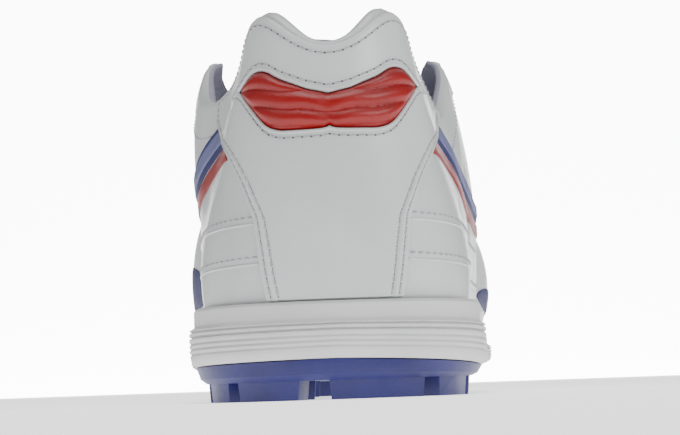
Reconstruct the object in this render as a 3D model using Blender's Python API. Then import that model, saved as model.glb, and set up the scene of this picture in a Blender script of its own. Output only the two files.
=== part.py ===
# A turf shoe for the right foot, standing on its lugs: toe towards +Y, outer side of the foot towards +X.
# The upper is one skin of ribs. Each rib is a cubic curve from the feather line round the sole up to the
# topline of the collar, or to the ridge over the instep and toe. Ribs are numbered from 0 at the back of the
# heel to 13 at the tip of the toe, with a minus sign on the inner side of the foot.

import bpy
import bmesh
import math
import numpy as np

# Lengths of the sole
SOLE_LENGTH = 0.288
BALL_WIDTH = 0.101
HEEL_WIDTH = 0.078
HEEL_STACK = 0.0242
FOREFOOT_STACK = 0.0174
LUG_HEIGHT = 0.0048
TOE_SPRING = 0.012
ARCH_RISE = 0.003
HEEL_BEVEL = 0.0043
FOREFOOT_BEVEL = 0.0080
LIP_DEPTH = 0.0028
LIP_INSET = 0.0034
RIB_DEPTH = 0.0006
GROOVE_DEPTH = 0.0019
BAND_INSET = 0.0014
LUG_DRAFT = 0.0007
LUG_BAND = 0.0125
INNER_LUG_RADIUS = 0.0042
INSOLE_THICKNESS = 0.0032

# Lengths of the upper
TAB_HEIGHT = 0.0728
INSTEP_HEIGHT = 0.0779
TOE_BOX_HEIGHT = 0.0226
UPPER_WALL = 0.002
COLLAR_PADDING = 0.003
OVERLAY_THICKNESS = 0.0012
PAD_THICKNESS = 0.0022
PAD_RIB_DEPTH = 0.0009
PAD_RIB_PITCH = 0.0045
EYESTAY_WIDTH = 0.038
EYELET_INSET = 0.005
EYELET_PAIRS = 6
TONGUE_WIDTH = 0.060
TONGUE_THICKNESS = 0.0036
TONGUE_REACH = 0.020
TONGUE_LEAN = 0.002
LACE_WIDTH = 0.0065
LACE_THICKNESS = 0.0012

# Clearances
GAP = 0.0003
SEAT_GAP = 0.0006
OVERLAY_GAP = 0.0005
LACE_GAP = 0.0012
INSOLE_GAP = 0.0008
TONGUE_GAP = 0.0016
WELD = 0.000001

TIP = 13
RIDGE_START = 6.35
VAMP_POINT = 8.92

# Plan of the sole: rib, forward as a share of the length, across as shares of half the heel and ball widths
SOLE_EDGE = (
    (-13, 1.0000, 0.00, -0.13),
    (-12, 0.9830, 0.00, -0.39),
    (-11, 0.9350, 0.00, -0.66),
    (-10, 0.8700, 0.00, -0.86),
    (-9, 0.7900, 0.00, -0.97),
    (-8, 0.7100, 0.00, -0.97),
    (-7, 0.6000, 0.00, -0.84),
    (-6, 0.4900, 0.00, -0.69),
    (-5, 0.3800, 0.10, -0.59),
    (-4, 0.2600, 0.50, -0.36),
    (-3, 0.1600, 0.99, 0.00),
    (-2, 0.0830, 0.93, 0.00),
    (-1, 0.0215, 0.60, 0.00),
    (0, 0.0000, 0.00, 0.00),
    (1, 0.0215, 0.60, 0.00),
    (2, 0.0830, 0.93, 0.00),
    (3, 0.1600, 1.00, 0.00),
    (4, 0.2600, 0.50, 0.39),
    (5, 0.3800, 0.10, 0.74),
    (6, 0.4900, 0.00, 0.88),
    (7, 0.5800, 0.00, 0.95),
    (8, 0.6600, 0.00, 0.975),
    (9, 0.7500, 0.00, 0.955),
    (10, 0.8400, 0.00, 0.86),
    (11, 0.9200, 0.00, 0.62),
    (12, 0.9780, 0.00, 0.27),
    (13, 1.0000, 0.00, -0.13),
)

# Topline of the collar: rib, forward as a share of the length, across as a share of half the heel width,
# up from the midsole rim as shares of the tab and instep heights
TOPLINE = (
    (-6.35, 0.4130, -0.051, 0.000, 1.000),
    (-6.10, 0.4060, -0.520, 0.000, 1.005),
    (-5.80, 0.3890, -0.830, 0.000, 0.985),
    (-5.50, 0.3646, -0.920, 0.000, 0.940),
    (-5.10, 0.3300, -0.950, 0.000, 0.850),
    (-4.60, 0.2917, -0.940, 0.410, 0.388),
    (-4.00, 0.2500, -0.850, 0.783, 0.000),
    (-3.20, 0.2014, -0.710, 0.791, 0.000),
    (-2.60, 0.1528, -0.605, 0.824, 0.000),
    (-2.00, 0.1111, -0.520, 0.904, 0.000),
    (-1.50, 0.0833, -0.475, 0.970, 0.000),
    (-1.00, 0.0573, -0.380, 0.996, 0.000),
    (-0.55, 0.0382, -0.220, 0.925, 0.000),
    (0.00, 0.0312, 0.000, 0.876, 0.000),
    (0.55, 0.0382, 0.220, 0.925, 0.000),
    (1.00, 0.0573, 0.370, 0.997, 0.000),
    (1.50, 0.0833, 0.465, 0.972, 0.000),
    (2.00, 0.1111, 0.505, 0.911, 0.000),
    (2.60, 0.1597, 0.600, 0.808, 0.000),
    (3.20, 0.1997, 0.710, 0.709, 0.000),
    (4.00, 0.2431, 0.790, 0.698, 0.000),
    (4.60, 0.2917, 0.840, 0.380, 0.357),
    (5.10, 0.3300, 0.880, 0.000, 0.816),
    (5.50, 0.3646, 0.860, 0.000, 0.912),
    (5.80, 0.3890, 0.770, 0.000, 0.965),
    (6.10, 0.4060, 0.440, 0.000, 0.995),
    (6.35, 0.4130, -0.051, 0.000, 1.000),
)

# Ridge over the instep: rib, forward as a share of the length, across as a share of half the ball width,
# up from the midsole rim as shares of the instep and toe box heights
RIDGE = (
    (6.35, 0.4130, -0.040, 1.000, 0.000),
    (7, 0.5280, -0.050, 0.866, 0.000),
    (8, 0.6320, -0.060, 0.732, 0.000),
    (9, 0.7220, -0.070, 0.500, 0.385),
    (10, 0.8090, -0.085, 0.300, 0.680),
    (11, 0.8750, -0.100, 0.130, 0.960),
    (12, 0.9167, -0.115, 0.040, 1.026),
    (13, 0.9375, -0.125, 0.000, 1.000),
)

# Fullness of the ribs: rib, rise at the foot, belly at the foot on the inner and outer side, drop at the top,
# lean at the top on the inner and outer side.
# Rise and drop are shares of the instep height, belly and lean are shares of half the ball width
FULLNESS = (
    (0.00, 0.270, 0.109, 0.109, 0.295, 0.109, 0.109),
    (1.00, 0.270, 0.100, 0.100, 0.308, 0.100, 0.100),
    (2.00, 0.257, 0.090, 0.090, 0.282, 0.090, 0.090),
    (3.00, 0.230, 0.085, 0.085, 0.230, 0.090, 0.090),
    (4.00, 0.240, 0.095, 0.095, 0.230, 0.100, 0.090),
    (5.00, 0.290, 0.110, 0.120, 0.270, 0.110, 0.080),
    (5.50, 0.320, 0.130, 0.150, 0.257, 0.160, 0.110),
    (6.00, 0.345, 0.140, 0.180, 0.154, 0.330, 0.260),
    (6.35, 0.355, 0.150, 0.210, 0.060, 0.500, 0.410),
    (7.00, 0.370, 0.160, 0.260, 0.000, 0.740, 0.570),
    (8.00, 0.385, 0.150, 0.340, 0.000, 0.900, 0.740),
    (9.00, 0.330, 0.120, 0.250, 0.000, 0.760, 0.680),
    (10.0, 0.260, 0.090, 0.130, 0.000, 0.580, 0.560),
    (11.0, 0.205, 0.070, 0.080, 0.000, 0.400, 0.400),
    (12.0, 0.180, 0.050, 0.050, 0.000, 0.240, 0.240),
    (13.0, 0.167, 0.040, 0.040, 0.000, 0.160, 0.160),
)

# Half width of the throat opening, as a share of half the heel width: rib, share
THROAT = (
    (5.80, 0.82),
    (5.95, 0.80),
    (6.20, 0.72),
    (6.40, 0.61),
    (6.60, 0.54),
    (7.20, 0.43),
    (8.00, 0.33),
    (8.40, 0.28),
    (8.65, 0.22),
    (8.80, 0.15),
    (8.88, 0.085),
    (8.92, 0.0),
)

# Lower edge of the eyestay: rib, distance from the ridge as a share of the eyestay's width
EYESTAY_EDGE = (
    (5.75, 1.05),
    (6.25, 0.98),
    (7.00, 0.86),
    (8.00, 0.70),
    (8.50, 0.62),
    (8.80, 0.545),
    (9.00, 0.465),
    (9.20, 0.345),
    (9.30, 0.255),
    (9.40, 0.10),
)

# Side of the midsole from its seam to its rim: share of its height, then its depth inside the plan as
# shares of the bevel at the bottom, the ribs, the groove and the upper band
MIDSOLE_SIDE = (
    (0.00, 0.36, 0.0, 0.0, 0.0),
    (0.06, 0.18, 0.0, 0.0, 0.0),
    (0.21, 0.02, 0.0, 0.0, 0.0),
    (0.27, 0.0, 1.0, 0.0, 0.0),
    (0.32, 0.0, 0.0, 0.0, 0.0),
    (0.37, 0.0, 1.0, 0.0, 0.0),
    (0.42, 0.0, 0.0, 0.0, 0.0),
    (0.47, 0.0, 1.0, 0.0, 0.0),
    (0.52, 0.0, 0.0, 0.0, 0.0),
    (0.58, 0.0, 0.5, 0.0, 0.0),
    (0.60, 0.0, 0.0, 1.0, 0.0),
    (0.66, 0.0, 0.0, 1.0, 0.0),
    (0.68, 0.0, 0.0, 0.0, 1.0),
    (0.93, 0.0, 0.0, 0.0, 1.0),
    (1.00, 0.0, 0.0, 0.0, 1.7),
)

# Height of the outsole's side above the tread, as a share of the lug height: rib, share
OUTSOLE_SIDE = (
    (-13, 0.92),
    (-8, 0.88),
    (-5, 0.80),
    (-3, 0.84),
    (-1.5, 0.98),
    (0, 1.12),
    (1.5, 0.80),
    (3, 0.46),
    (5, 0.56),
    (8, 0.84),
    (13, 0.92),
)

# Lugs that follow the edge: first and last rib
EDGE_LUGS = (
    (-1.30, -0.42),
    (-2.20, -1.50),
    (-3.05, -2.40),
    (-3.80, -3.25),
    (-6.90, -6.35),
    (-7.60, -7.10),
    (-8.30, -7.80),
    (-9.00, -8.50),
    (-9.70, -9.20),
    (-10.40, -9.90),
    (-11.15, -10.60),
    (-12.05, -11.40),
    (-0.10, 1.05),
    (1.30, 2.15),
    (2.35, 3.00),
    (3.20, 3.75),
    (6.15, 6.70),
    (6.90, 7.40),
    (7.60, 8.10),
    (8.30, 8.80),
    (9.00, 9.50),
    (9.70, 10.20),
    (10.40, 10.95),
    (11.20, 11.85),
    (12.15, 12.90),
)

# Rows of small lugs inside the edge: forward as a share of the length, lugs in the row
INNER_LUGS = (
    (0.105, 2),
    (0.160, 2),
    (0.215, 2),
    (0.540, 2),
    (0.595, 3),
    (0.650, 4),
    (0.705, 3),
    (0.760, 4),
    (0.815, 3),
    (0.870, 2),
)

# Edge of the heel counter seen from behind: up as a share of the tab height, half width as shares of half
# the heel width on the inner and outer side
COUNTER_EDGE = (
    (0.00, 0.425, 0.423),
    (0.10, 0.455, 0.450),
    (0.29, 0.492, 0.487),
    (0.42, 0.573, 0.572),
    (0.50, 0.633, 0.633),
    (0.58, 0.690, 0.685),
    (0.70, 0.757, 0.739),
    (0.90, 0.757, 0.755),
    (1.10, 0.757, 0.755),
)

# Ribbed pad on the heel tab seen from behind: half width as a share of half the heel width, lower and upper
# edge as shares of the tab height
PAD_EDGE = (
    (0.000, 0.595, 0.703),
    (0.031, 0.586, 0.708),
    (0.140, 0.584, 0.722),
    (0.310, 0.584, 0.762),
    (0.385, 0.597, 0.792),
    (0.430, 0.618, 0.800),
    (0.480, 0.655, 0.797),
    (0.520, 0.690, 0.777),
    (0.555, 0.722, 0.754),
    (0.570, 0.738, 0.742),
)

PARTS = None
CUTTERS = None


def clear_scene():
    for item in list(bpy.data.objects):
        bpy.data.objects.remove(item, do_unlink=True)


def new_collection(name):
    collection = bpy.data.collections.new(name)
    bpy.context.scene.collection.children.link(collection)
    return collection


def new_material(name, colour, roughness):
    material = bpy.data.materials.new(name)
    material.use_nodes = True
    shader = material.node_tree.nodes["Principled BSDF"]
    shader.inputs["Base Color"].default_value = (*colour, 1.0)
    shader.inputs["Roughness"].default_value = roughness
    shader.inputs["Metallic"].default_value = 0.0
    return material


def spline(knots, values, closed=False):
    # Cubic spline through the rows, either with free ends or with the last row joined to the first
    knots = np.array(knots, dtype=float)
    values = np.array(values, dtype=float)
    span = np.diff(knots)
    rise = (values[1:] - values[:-1]) / span[:, None]
    count = len(knots)
    matrix = np.zeros((count, count))
    right = np.zeros(values.shape)
    for row in range(1, count - 1):
        matrix[row, row - 1] = span[row]
        matrix[row, row] = 2 * (span[row - 1] + span[row])
        matrix[row, row + 1] = span[row - 1]
        right[row] = 3 * (rise[row - 1] * span[row] + rise[row] * span[row - 1])
    if closed:
        matrix[0, 0] = 2 * (span[-1] + span[0])
        matrix[0, 1] = span[-1]
        matrix[0, -2] = span[0]
        right[0] = 3 * (rise[-1] * span[0] + rise[0] * span[-1])
        matrix[-1, 0] = 1
        matrix[-1, -1] = -1
    else:
        matrix[0, 0] = 2
        matrix[0, 1] = 1
        right[0] = 3 * rise[0]
        matrix[-1, -1] = 2
        matrix[-1, -2] = 1
        right[-1] = 3 * rise[-1]
    slope = np.linalg.solve(matrix, right)

    def curve(position):
        position = np.asarray(position, dtype=float)
        index = np.clip(np.searchsorted(knots, position, side="right") - 1, 0, count - 2)
        step = span[index][..., None]
        u = (position - knots[index])[..., None] / step
        start = values[index] * (1 + 2 * u) * (1 - u) ** 2 + slope[index] * step * u * (1 - u) ** 2
        end = values[index + 1] * u ** 2 * (3 - 2 * u) + slope[index + 1] * step * u ** 2 * (u - 1)
        return start + end

    return curve


def steps(table, position):
    # Straight lines between the rows of a table of two columns
    rows = np.array(table)
    return np.interp(position, rows[:, 0], rows[:, 1])


def smooth(value, low, high):
    share = np.clip((value - low) / (high - low), 0, 1)
    return share * share * (3 - 2 * share)


def wrap(rib):
    return (np.asarray(rib, dtype=float) + TIP) % (2 * TIP) - TIP


# Levels of the sole, from the distance forward of the heel

ARCH_FROM = 0.25
ARCH_TO = 0.62
SPRING_FROM = 0.66


def spring(forward):
    share = np.clip((forward / SOLE_LENGTH - SPRING_FROM) / (1 - SPRING_FROM), 0, None)
    return TOE_SPRING * share ** 2


def rim_height(forward):
    fall = smooth(forward / SOLE_LENGTH, ARCH_FROM, ARCH_TO)
    return HEEL_STACK + (FOREFOOT_STACK - HEEL_STACK) * fall + spring(forward)


def tread_height(forward):
    share = forward / SOLE_LENGTH
    arch = smooth(share, 0.24, 0.36) * (1 - smooth(share, 0.42, 0.56))
    return LUG_HEIGHT + ARCH_RISE * arch + spring(forward)


def seat_height(forward):
    return rim_height(forward) - LIP_DEPTH


# Plan of the sole

edge_rows = np.array(SOLE_EDGE)
edge_side = np.sign(edge_rows[:, 0])
edge_across = edge_side * edge_rows[:, 2] * HEEL_WIDTH / 2 + edge_rows[:, 3] * BALL_WIDTH / 2
edge_curve = spline(edge_rows[:, 0], np.column_stack((edge_across, edge_rows[:, 1] * SOLE_LENGTH)), closed=True)


def plan_out(rib):
    step = 0.01
    along = edge_curve(wrap(np.asarray(rib) + step)) - edge_curve(wrap(np.asarray(rib) - step))
    along /= np.linalg.norm(along, axis=-1, keepdims=True)
    return np.stack((along[..., 1], -along[..., 0]), axis=-1)


def plan(rib, inset=0.0):
    inset = np.asarray(inset, dtype=float)[..., None]
    return edge_curve(wrap(rib)) - plan_out(rib) * inset


def bevel(rib):
    return HEEL_BEVEL + (FOREFOOT_BEVEL - HEEL_BEVEL) * smooth(np.abs(rib), 3, 6)


def seam_height(rib):
    forward = edge_curve(wrap(rib))[..., 1]
    return tread_height(forward) + LUG_HEIGHT * steps(OUTSOLE_SIDE, wrap(rib))


# Skin of the upper

topline_rows = np.array(TOPLINE)
topline_forward = topline_rows[:, 1] * SOLE_LENGTH
topline_up = topline_rows[:, 3] * TAB_HEIGHT + topline_rows[:, 4] * INSTEP_HEIGHT
topline_curve = spline(topline_rows[:, 0], np.column_stack((
    topline_rows[:, 2] * HEEL_WIDTH / 2, topline_forward, rim_height(topline_forward) + topline_up)))

ridge_rows = np.array(RIDGE)
ridge_forward = ridge_rows[:, 1] * SOLE_LENGTH
ridge_up = ridge_rows[:, 3] * INSTEP_HEIGHT + ridge_rows[:, 4] * TOE_BOX_HEIGHT
ridge_curve = spline(ridge_rows[:, 0], np.column_stack((
    ridge_rows[:, 2] * BALL_WIDTH / 2, ridge_forward, rim_height(ridge_forward) + ridge_up)))

fullness_rows = np.array(FULLNESS)
fullness_curve = spline(fullness_rows[:, 0], fullness_rows[:, 1:])


def fullness(rib):
    # Rise, belly, drop and lean of a rib
    full = fullness_curve(np.abs(rib))
    belly = np.where(rib < 0, full[..., 1], full[..., 2]) * BALL_WIDTH / 2
    lean = np.where(rib < 0, full[..., 4], full[..., 5]) * BALL_WIDTH / 2
    return full[..., 0] * INSTEP_HEIGHT, belly, np.clip(full[..., 3], 0, None) * INSTEP_HEIGHT, lean


def foot_inset(rib):
    # A rib that leans outwards starts further in, so that it clears the lip
    rise, belly, _, _ = fullness(rib)
    return LIP_INSET + SEAT_GAP + LIP_DEPTH * belly / rise


def ridge_slope(rib):
    step = 0.01
    size = np.clip(np.abs(rib), RIDGE_START + step, TIP - step)
    change = ridge_curve(size + step) - ridge_curve(size - step)
    return change[..., 2] / change[..., 1]


def skin(rib, height):
    # Point of the upper's outside at a rib, from 0 at its foot to 1 at its top
    rib, height = np.broadcast_arrays(wrap(rib), np.asarray(height, dtype=float))
    size = np.abs(rib)
    rise, belly, drop, lean = fullness(rib)
    foot_plan = plan(rib, foot_inset(rib))
    out = plan_out(rib)
    foot = np.concatenate((foot_plan, (seat_height(foot_plan[..., 1]) + SEAT_GAP)[..., None]), axis=-1)
    on_ridge = (size >= RIDGE_START)[..., None]
    top = np.where(on_ridge, ridge_curve(np.maximum(size, RIDGE_START)), topline_curve(np.clip(
        rib, -RIDGE_START, RIDGE_START)))
    lower = foot.copy()
    lower[..., :2] += out * belly[..., None]
    lower[..., 2] += rise
    upper = top.copy()
    upper[..., :2] += out * lean[..., None]
    upper[..., 2] -= drop
    upper[..., 2] += lean * out[..., 1] * ridge_slope(rib) * smooth(size, 5.8, RIDGE_START)
    t = height[..., None]
    return foot * (1 - t) ** 3 + lower * 3 * t * (1 - t) ** 2 + upper * 3 * t ** 2 * (1 - t) + top * t ** 3


def skin_out(rib, height):
    step = 0.004
    rib, height = np.broadcast_arrays(wrap(rib), np.asarray(height, dtype=float))
    low = np.clip(height - step, 0, 1)
    high = np.clip(height + step, 0, 1)
    up = skin(rib, high) - skin(rib, low)
    along = skin(rib + step, height) - skin(rib - step, height)
    out = np.cross(along, up)
    on_ridge = (np.abs(rib) >= RIDGE_START) & (height > 1 - step)
    slope = ridge_slope(rib)
    ridge_out = np.stack((np.zeros_like(slope), -slope, np.ones_like(slope)), axis=-1)
    out = np.where(on_ridge[..., None], ridge_out, out)
    return out / np.linalg.norm(out, axis=-1, keepdims=True)


def lifted(rib, height, distance):
    return skin(rib, height) + skin_out(rib, height) * np.asarray(distance, dtype=float)[..., None]


def ridge_point(rib):
    return ridge_curve(np.maximum(np.abs(wrap(rib)), RIDGE_START))


SAMPLES = np.linspace(0, 1, 241)


def height_at_width(rib, width):
    # Highest place on a rib that lies at least this far from the ridge
    points = skin(rib, SAMPLES)
    distance = np.linalg.norm(points - ridge_point(rib), axis=-1)
    if distance[-1] >= width:
        return 1.0
    index = np.nonzero(distance >= width)[0][-1]
    share = (distance[index] - width) / (distance[index] - distance[index + 1])
    return SAMPLES[index] + share * (SAMPLES[1] - SAMPLES[0])


def height_below(rib, top, length):
    # Place on a rib at a length along it below another place
    points = skin(rib, SAMPLES * top)
    pieces = np.linalg.norm(np.diff(points, axis=0), axis=-1)
    below = np.concatenate((np.cumsum(pieces[::-1])[::-1], (0.0,)))
    return float(np.interp(-length, -below, SAMPLES * top))


def height_at_level(rib, level):
    # Place on a rib at a level above the floor, on its lower and rising part
    points = skin(rib, SAMPLES)[:, 2]
    return float(np.interp(level, points[:121], SAMPLES[:121]))


def throat_width(rib):
    size = abs(float(rib))
    if size >= VAMP_POINT:
        return 0.0
    return float(steps(THROAT, size)) * HEEL_WIDTH / 2


def edge_top(rib):
    # The upper ends at the topline, at the edge of the throat, or past the vamp point at the ridge
    size = abs(float(rib))
    if size <= THROAT[0][0] or size >= VAMP_POINT:
        return 1.0
    return height_at_width(rib, throat_width(rib))


def locate(across, level):
    # Rib and height of the point of the heel that is seen from behind at a place across and a level
    across = np.asarray(across, dtype=float)
    level = np.asarray(level, dtype=float)
    rib = across / HEEL_WIDTH * 5
    height = (level - HEEL_STACK) / TAB_HEIGHT
    step = 0.001
    for _ in range(14):
        point = skin(rib, height)
        by_rib = (skin(rib + step, height) - point) / step
        by_height = (skin(rib, height + step) - point) / step
        miss_x = across - point[..., 0]
        miss_z = level - point[..., 2]
        size = by_rib[..., 0] * by_height[..., 2] - by_height[..., 0] * by_rib[..., 2]
        rib = rib + (miss_x * by_height[..., 2] - miss_z * by_height[..., 0]) / size
        height = height + (miss_z * by_rib[..., 0] - miss_x * by_rib[..., 2]) / size
    return rib, height


def seen(across, level, lift):
    # Point of a layer over the heel that is seen from behind at a place across and a level
    shift = np.zeros(3)
    for _ in range(5):
        rib, height = locate(across - shift[0], level - shift[2])
        shift = skin_out(rib, height) * lift
    return skin(rib, height) + shift


# Building of meshes

def place(name, points, faces, material, collection=None):
    mesh = bpy.data.meshes.new(name)
    mesh.from_pydata([tuple(point) for point in points], [], faces)
    form = bmesh.new()
    form.from_mesh(mesh)
    bmesh.ops.remove_doubles(form, verts=form.verts, dist=WELD)
    bmesh.ops.dissolve_degenerate(form, edges=form.edges, dist=WELD)
    bmesh.ops.triangulate(form, faces=form.faces)
    bmesh.ops.recalc_face_normals(form, faces=form.faces)
    form.to_mesh(mesh)
    form.free()
    item = bpy.data.objects.new(name, mesh)
    item.location = (-CENTRE[0], -CENTRE[1], 0)
    if material is not None:
        mesh.materials.append(material)
    (collection or PARTS).objects.link(item)
    return item


def make_smooth(item, degrees=32):
    item.data.shade_smooth()
    item.data.set_sharp_from_angle(angle=math.radians(degrees))


def apply_boolean(item, tool, operation):
    modifier = item.modifiers.new(operation.title(), "BOOLEAN")
    modifier.operation = operation
    modifier.solver = "EXACT"
    modifier.object = tool
    bpy.context.view_layer.update()
    depsgraph = bpy.context.evaluated_depsgraph_get()
    mesh = bpy.data.meshes.new_from_object(item.evaluated_get(depsgraph))
    item.modifiers.remove(modifier)
    old = item.data
    item.data = mesh
    bpy.data.meshes.remove(old)
    bpy.data.objects.remove(tool, do_unlink=True)
    mesh.name = item.name


def grid_faces(index):
    # Quads over a grid of point numbers
    faces = []
    for row in range(index.shape[0] - 1):
        for column in range(index.shape[1] - 1):
            corners = (index[row, column], index[row + 1, column],
                       index[row + 1, column + 1], index[row, column + 1])
            faces.append(tuple(dict.fromkeys(int(corner) for corner in corners)))
    return faces


def shell(name, faces, inside, outside, material, roundness=0.0):
    # Closed wall between two skins over the same faces, with its edges drawn out by their roundness
    count = len(outside)
    used = {}
    for face in faces:
        for start, end in zip(face, face[1:] + face[:1]):
            used[(start, end)] = face
    border = [pair for pair in used if (pair[1], pair[0]) not in used]
    points = list(outside) + list(inside)
    solid = list(faces) + [tuple(count + corner for corner in reversed(face)) for face in faces]
    middle = {}
    if roundness > 0:
        pull = {}
        for start, end in border:
            centre = np.mean([outside[corner] for corner in used[(start, end)]], axis=0)
            for corner in (start, end):
                pull.setdefault(corner, []).append(outside[corner] - centre)
        for corner, pulls in pull.items():
            wall = outside[corner] - inside[corner]
            away = np.mean(pulls, axis=0)
            away -= wall * np.dot(away, wall) / np.dot(wall, wall)
            away *= roundness * np.linalg.norm(wall) / np.linalg.norm(away)
            middle[corner] = len(points)
            points.append((outside[corner] + inside[corner]) / 2 + away)
    for start, end in border:
        if roundness > 0:
            solid.append((end, start, middle[start], middle[end]))
            solid.append((middle[end], middle[start], count + start, count + end))
        else:
            solid.append((end, start, count + start, count + end))
    return place(name, points, solid, material)


def ring_solid(name, rings, ribs, material):
    # Closed solid from rings of points round the sole, with lids of strips that run from side to side
    points = [point for ring in rings for point in ring]
    count = len(ribs)
    faces = []
    for level in range(len(rings) - 1):
        for spot in range(count):
            after = (spot + 1) % count
            low = level * count
            high = low + count
            faces.append((low + spot, low + after, high + after, high + spot))
    half = count // 2
    for level in (0, len(rings) - 1):
        low = level * count
        rows = [(low + half - spot, low + (half + spot) % count) for spot in range(half + 1)]
        faces += grid_faces(np.array(rows))
    return place(name, points, faces, material)


# Ribs at which the skins are built

def rib_list(spans):
    ribs = [0.0]
    for end, step in spans:
        while ribs[-1] < end - WELD:
            ribs.append(min(round(ribs[-1] + step, 4), end))
    return ribs


UPPER_SPANS = ((2.1, 0.3), (3.5, 0.35), (5.5, 0.5), (6.5, 0.25), (8.5, 0.5), (8.8, 0.15), (8.88, 0.08),
               (8.92, 0.04), (9, 0.08), (9.15, 0.15), (9.3, 0.15), (9.4, 0.1), (9.5, 0.1), (12, 0.5), (13, 0.25))
SOLE_SPANS = ((3, 0.25), (10.5, 0.5), (13, 0.25))


def both_sides(ribs):
    return [-rib for rib in reversed(ribs[1:])] + list(ribs)


def sole_ribs():
    # Once round the plan: the tip belongs to both sides and stands first
    return np.array(both_sides(rib_list(SOLE_SPANS))[:-1])


def sole_ring(ribs, inset, height):
    spots = plan(ribs, inset)
    return np.column_stack((spots, height(spots[:, 1]) if callable(height) else height))


def make_outsole(rubber):
    ribs = sole_ribs()
    seam = seam_height(ribs) - GAP / 2
    tread = tread_height(edge_curve(ribs)[:, 1])
    depth = bevel(ribs)
    rings = [
        sole_ring(ribs, depth, tread),
        sole_ring(ribs, depth * 0.62, tread * 0.70 + seam * 0.30),
        sole_ring(ribs, depth * 0.40, seam),
    ]
    outsole = ring_solid("outsole", rings, ribs, rubber)
    for first, last in EDGE_LUGS:
        apply_boolean(outsole, edge_lug(first, last), "UNION")
    for share, number in INNER_LUGS:
        for lug in inner_lugs(share * SOLE_LENGTH, number):
            apply_boolean(outsole, lug, "UNION")
    return outsole


LUG_ROOT = 0.0012


def lug_solid(outline, draft):
    # A lug tapers from its root inside the outsole down to its flat foot
    outline = np.array(outline)
    centre = outline.mean(axis=0)
    away = outline - centre
    length = np.linalg.norm(away, axis=1, keepdims=True)
    foot = centre + away * (1 - draft / length)
    floor = spring(outline[:, 1])
    root = tread_height(outline[:, 1]) + LUG_ROOT
    count = len(outline)
    points = [(*spot, level) for spot, level in zip(foot, floor)]
    points += [(*spot, level) for spot, level in zip(outline, root)]
    faces = [tuple(range(count))[::-1], tuple(range(count, 2 * count))]
    for spot in range(count):
        after = (spot + 1) % count
        faces.append((spot, after, count + after, count + spot))
    return place("lug", points, faces, None, CUTTERS)


def edge_lug(first, last):
    ribs = np.linspace(first, last, 3)
    outer = plan(ribs, bevel(ribs) + LUG_DRAFT / 2)
    inner = plan(ribs[::-1], bevel(ribs[::-1]) + LUG_BAND)
    return lug_solid(list(outer) + list(inner), LUG_DRAFT)


def side_at(forward, side):
    ribs = np.linspace(0, TIP, 261) * side
    spots = edge_curve(ribs)
    return float(np.interp(forward, spots[:, 1], spots[:, 0]))


INNER_LUG_SIDES = 4


def inner_lugs(forward, number):
    clear = bevel(TIP / 2) + LUG_BAND + INNER_LUG_RADIUS + HEEL_BEVEL
    left = side_at(forward, -1) + clear
    right = side_at(forward, 1) - clear
    for spot in range(number):
        across = left + (right - left) * (spot / (number - 1))
        outline = []
        for corner in range(INNER_LUG_SIDES):
            angle = 2 * math.pi * (corner + 0.5) / INNER_LUG_SIDES
            outline.append((across + INNER_LUG_RADIUS * math.cos(angle),
                            forward + INNER_LUG_RADIUS * math.sin(angle)))
        yield lug_solid(outline, LUG_DRAFT)


def make_midsole(foam):
    ribs = sole_ribs()
    seam = seam_height(ribs) + GAP / 2
    forward = edge_curve(ribs)[:, 1]
    rim = rim_height(forward)
    rings = []
    for share, under, rib, groove, band in MIDSOLE_SIDE:
        inset = under * bevel(ribs) + rib * RIB_DEPTH + groove * GROOVE_DEPTH + band * BAND_INSET
        rings.append(sole_ring(ribs, inset, seam + (rim - seam) * share))
    rings.append(sole_ring(ribs, LIP_INSET, rim))
    rings.append(sole_ring(ribs, LIP_INSET, seat_height))
    return ring_solid("midsole", rings, ribs, foam)


def make_insole(cloth):
    ribs = sole_ribs()
    inset = foot_inset(ribs) + UPPER_WALL + INSOLE_GAP
    edge = INSOLE_THICKNESS / 4
    rings = [
        sole_ring(ribs, inset, lambda forward: seat_height(forward) + GAP),
        sole_ring(ribs, inset, lambda forward: seat_height(forward) + GAP + INSOLE_THICKNESS - edge),
        sole_ring(ribs, inset + edge, lambda forward: seat_height(forward) + GAP + INSOLE_THICKNESS),
    ]
    return ring_solid("insole", rings, ribs, cloth)


UPPER_ROWS = 9


def wall_thickness(rib, height, top):
    # The collar is padded near its topline, and the wall is plain everywhere else
    near_top = smooth(height / top, 0.60, 0.92)
    round_collar = 1 - smooth(np.abs(rib), 4.8, 5.8)
    return UPPER_WALL + COLLAR_PADDING * near_top * round_collar


def make_upper(leather):
    ribs = both_sides(rib_list(UPPER_SPANS))
    points = {}
    outside = []
    inside = []
    index = np.zeros((len(ribs), UPPER_ROWS + 1), dtype=int)
    for column, rib in enumerate(ribs):
        top = edge_top(rib)
        for row in range(UPPER_ROWS + 1):
            key = (rib, row)
            if abs(rib) == TIP:
                key = (TIP, row)
            if row == UPPER_ROWS and abs(rib) >= VAMP_POINT:
                key = (abs(rib), row)
            if key not in points:
                height = top * row / UPPER_ROWS
                points[key] = len(outside)
                outside.append(skin(rib, height))
                inside.append(lifted(rib, height, -wall_thickness(rib, height, top)))
            index[column, row] = points[key]
    faces = grid_faces(index)
    return shell("upper", faces, np.array(inside), np.array(outside), leather, roundness=0.35)


COUNTER_COLUMNS = 10
COUNTER_ROWS = 11
COUNTER_FOOT = HEEL_STACK + GAP + OVERLAY_THICKNESS / 2


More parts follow.
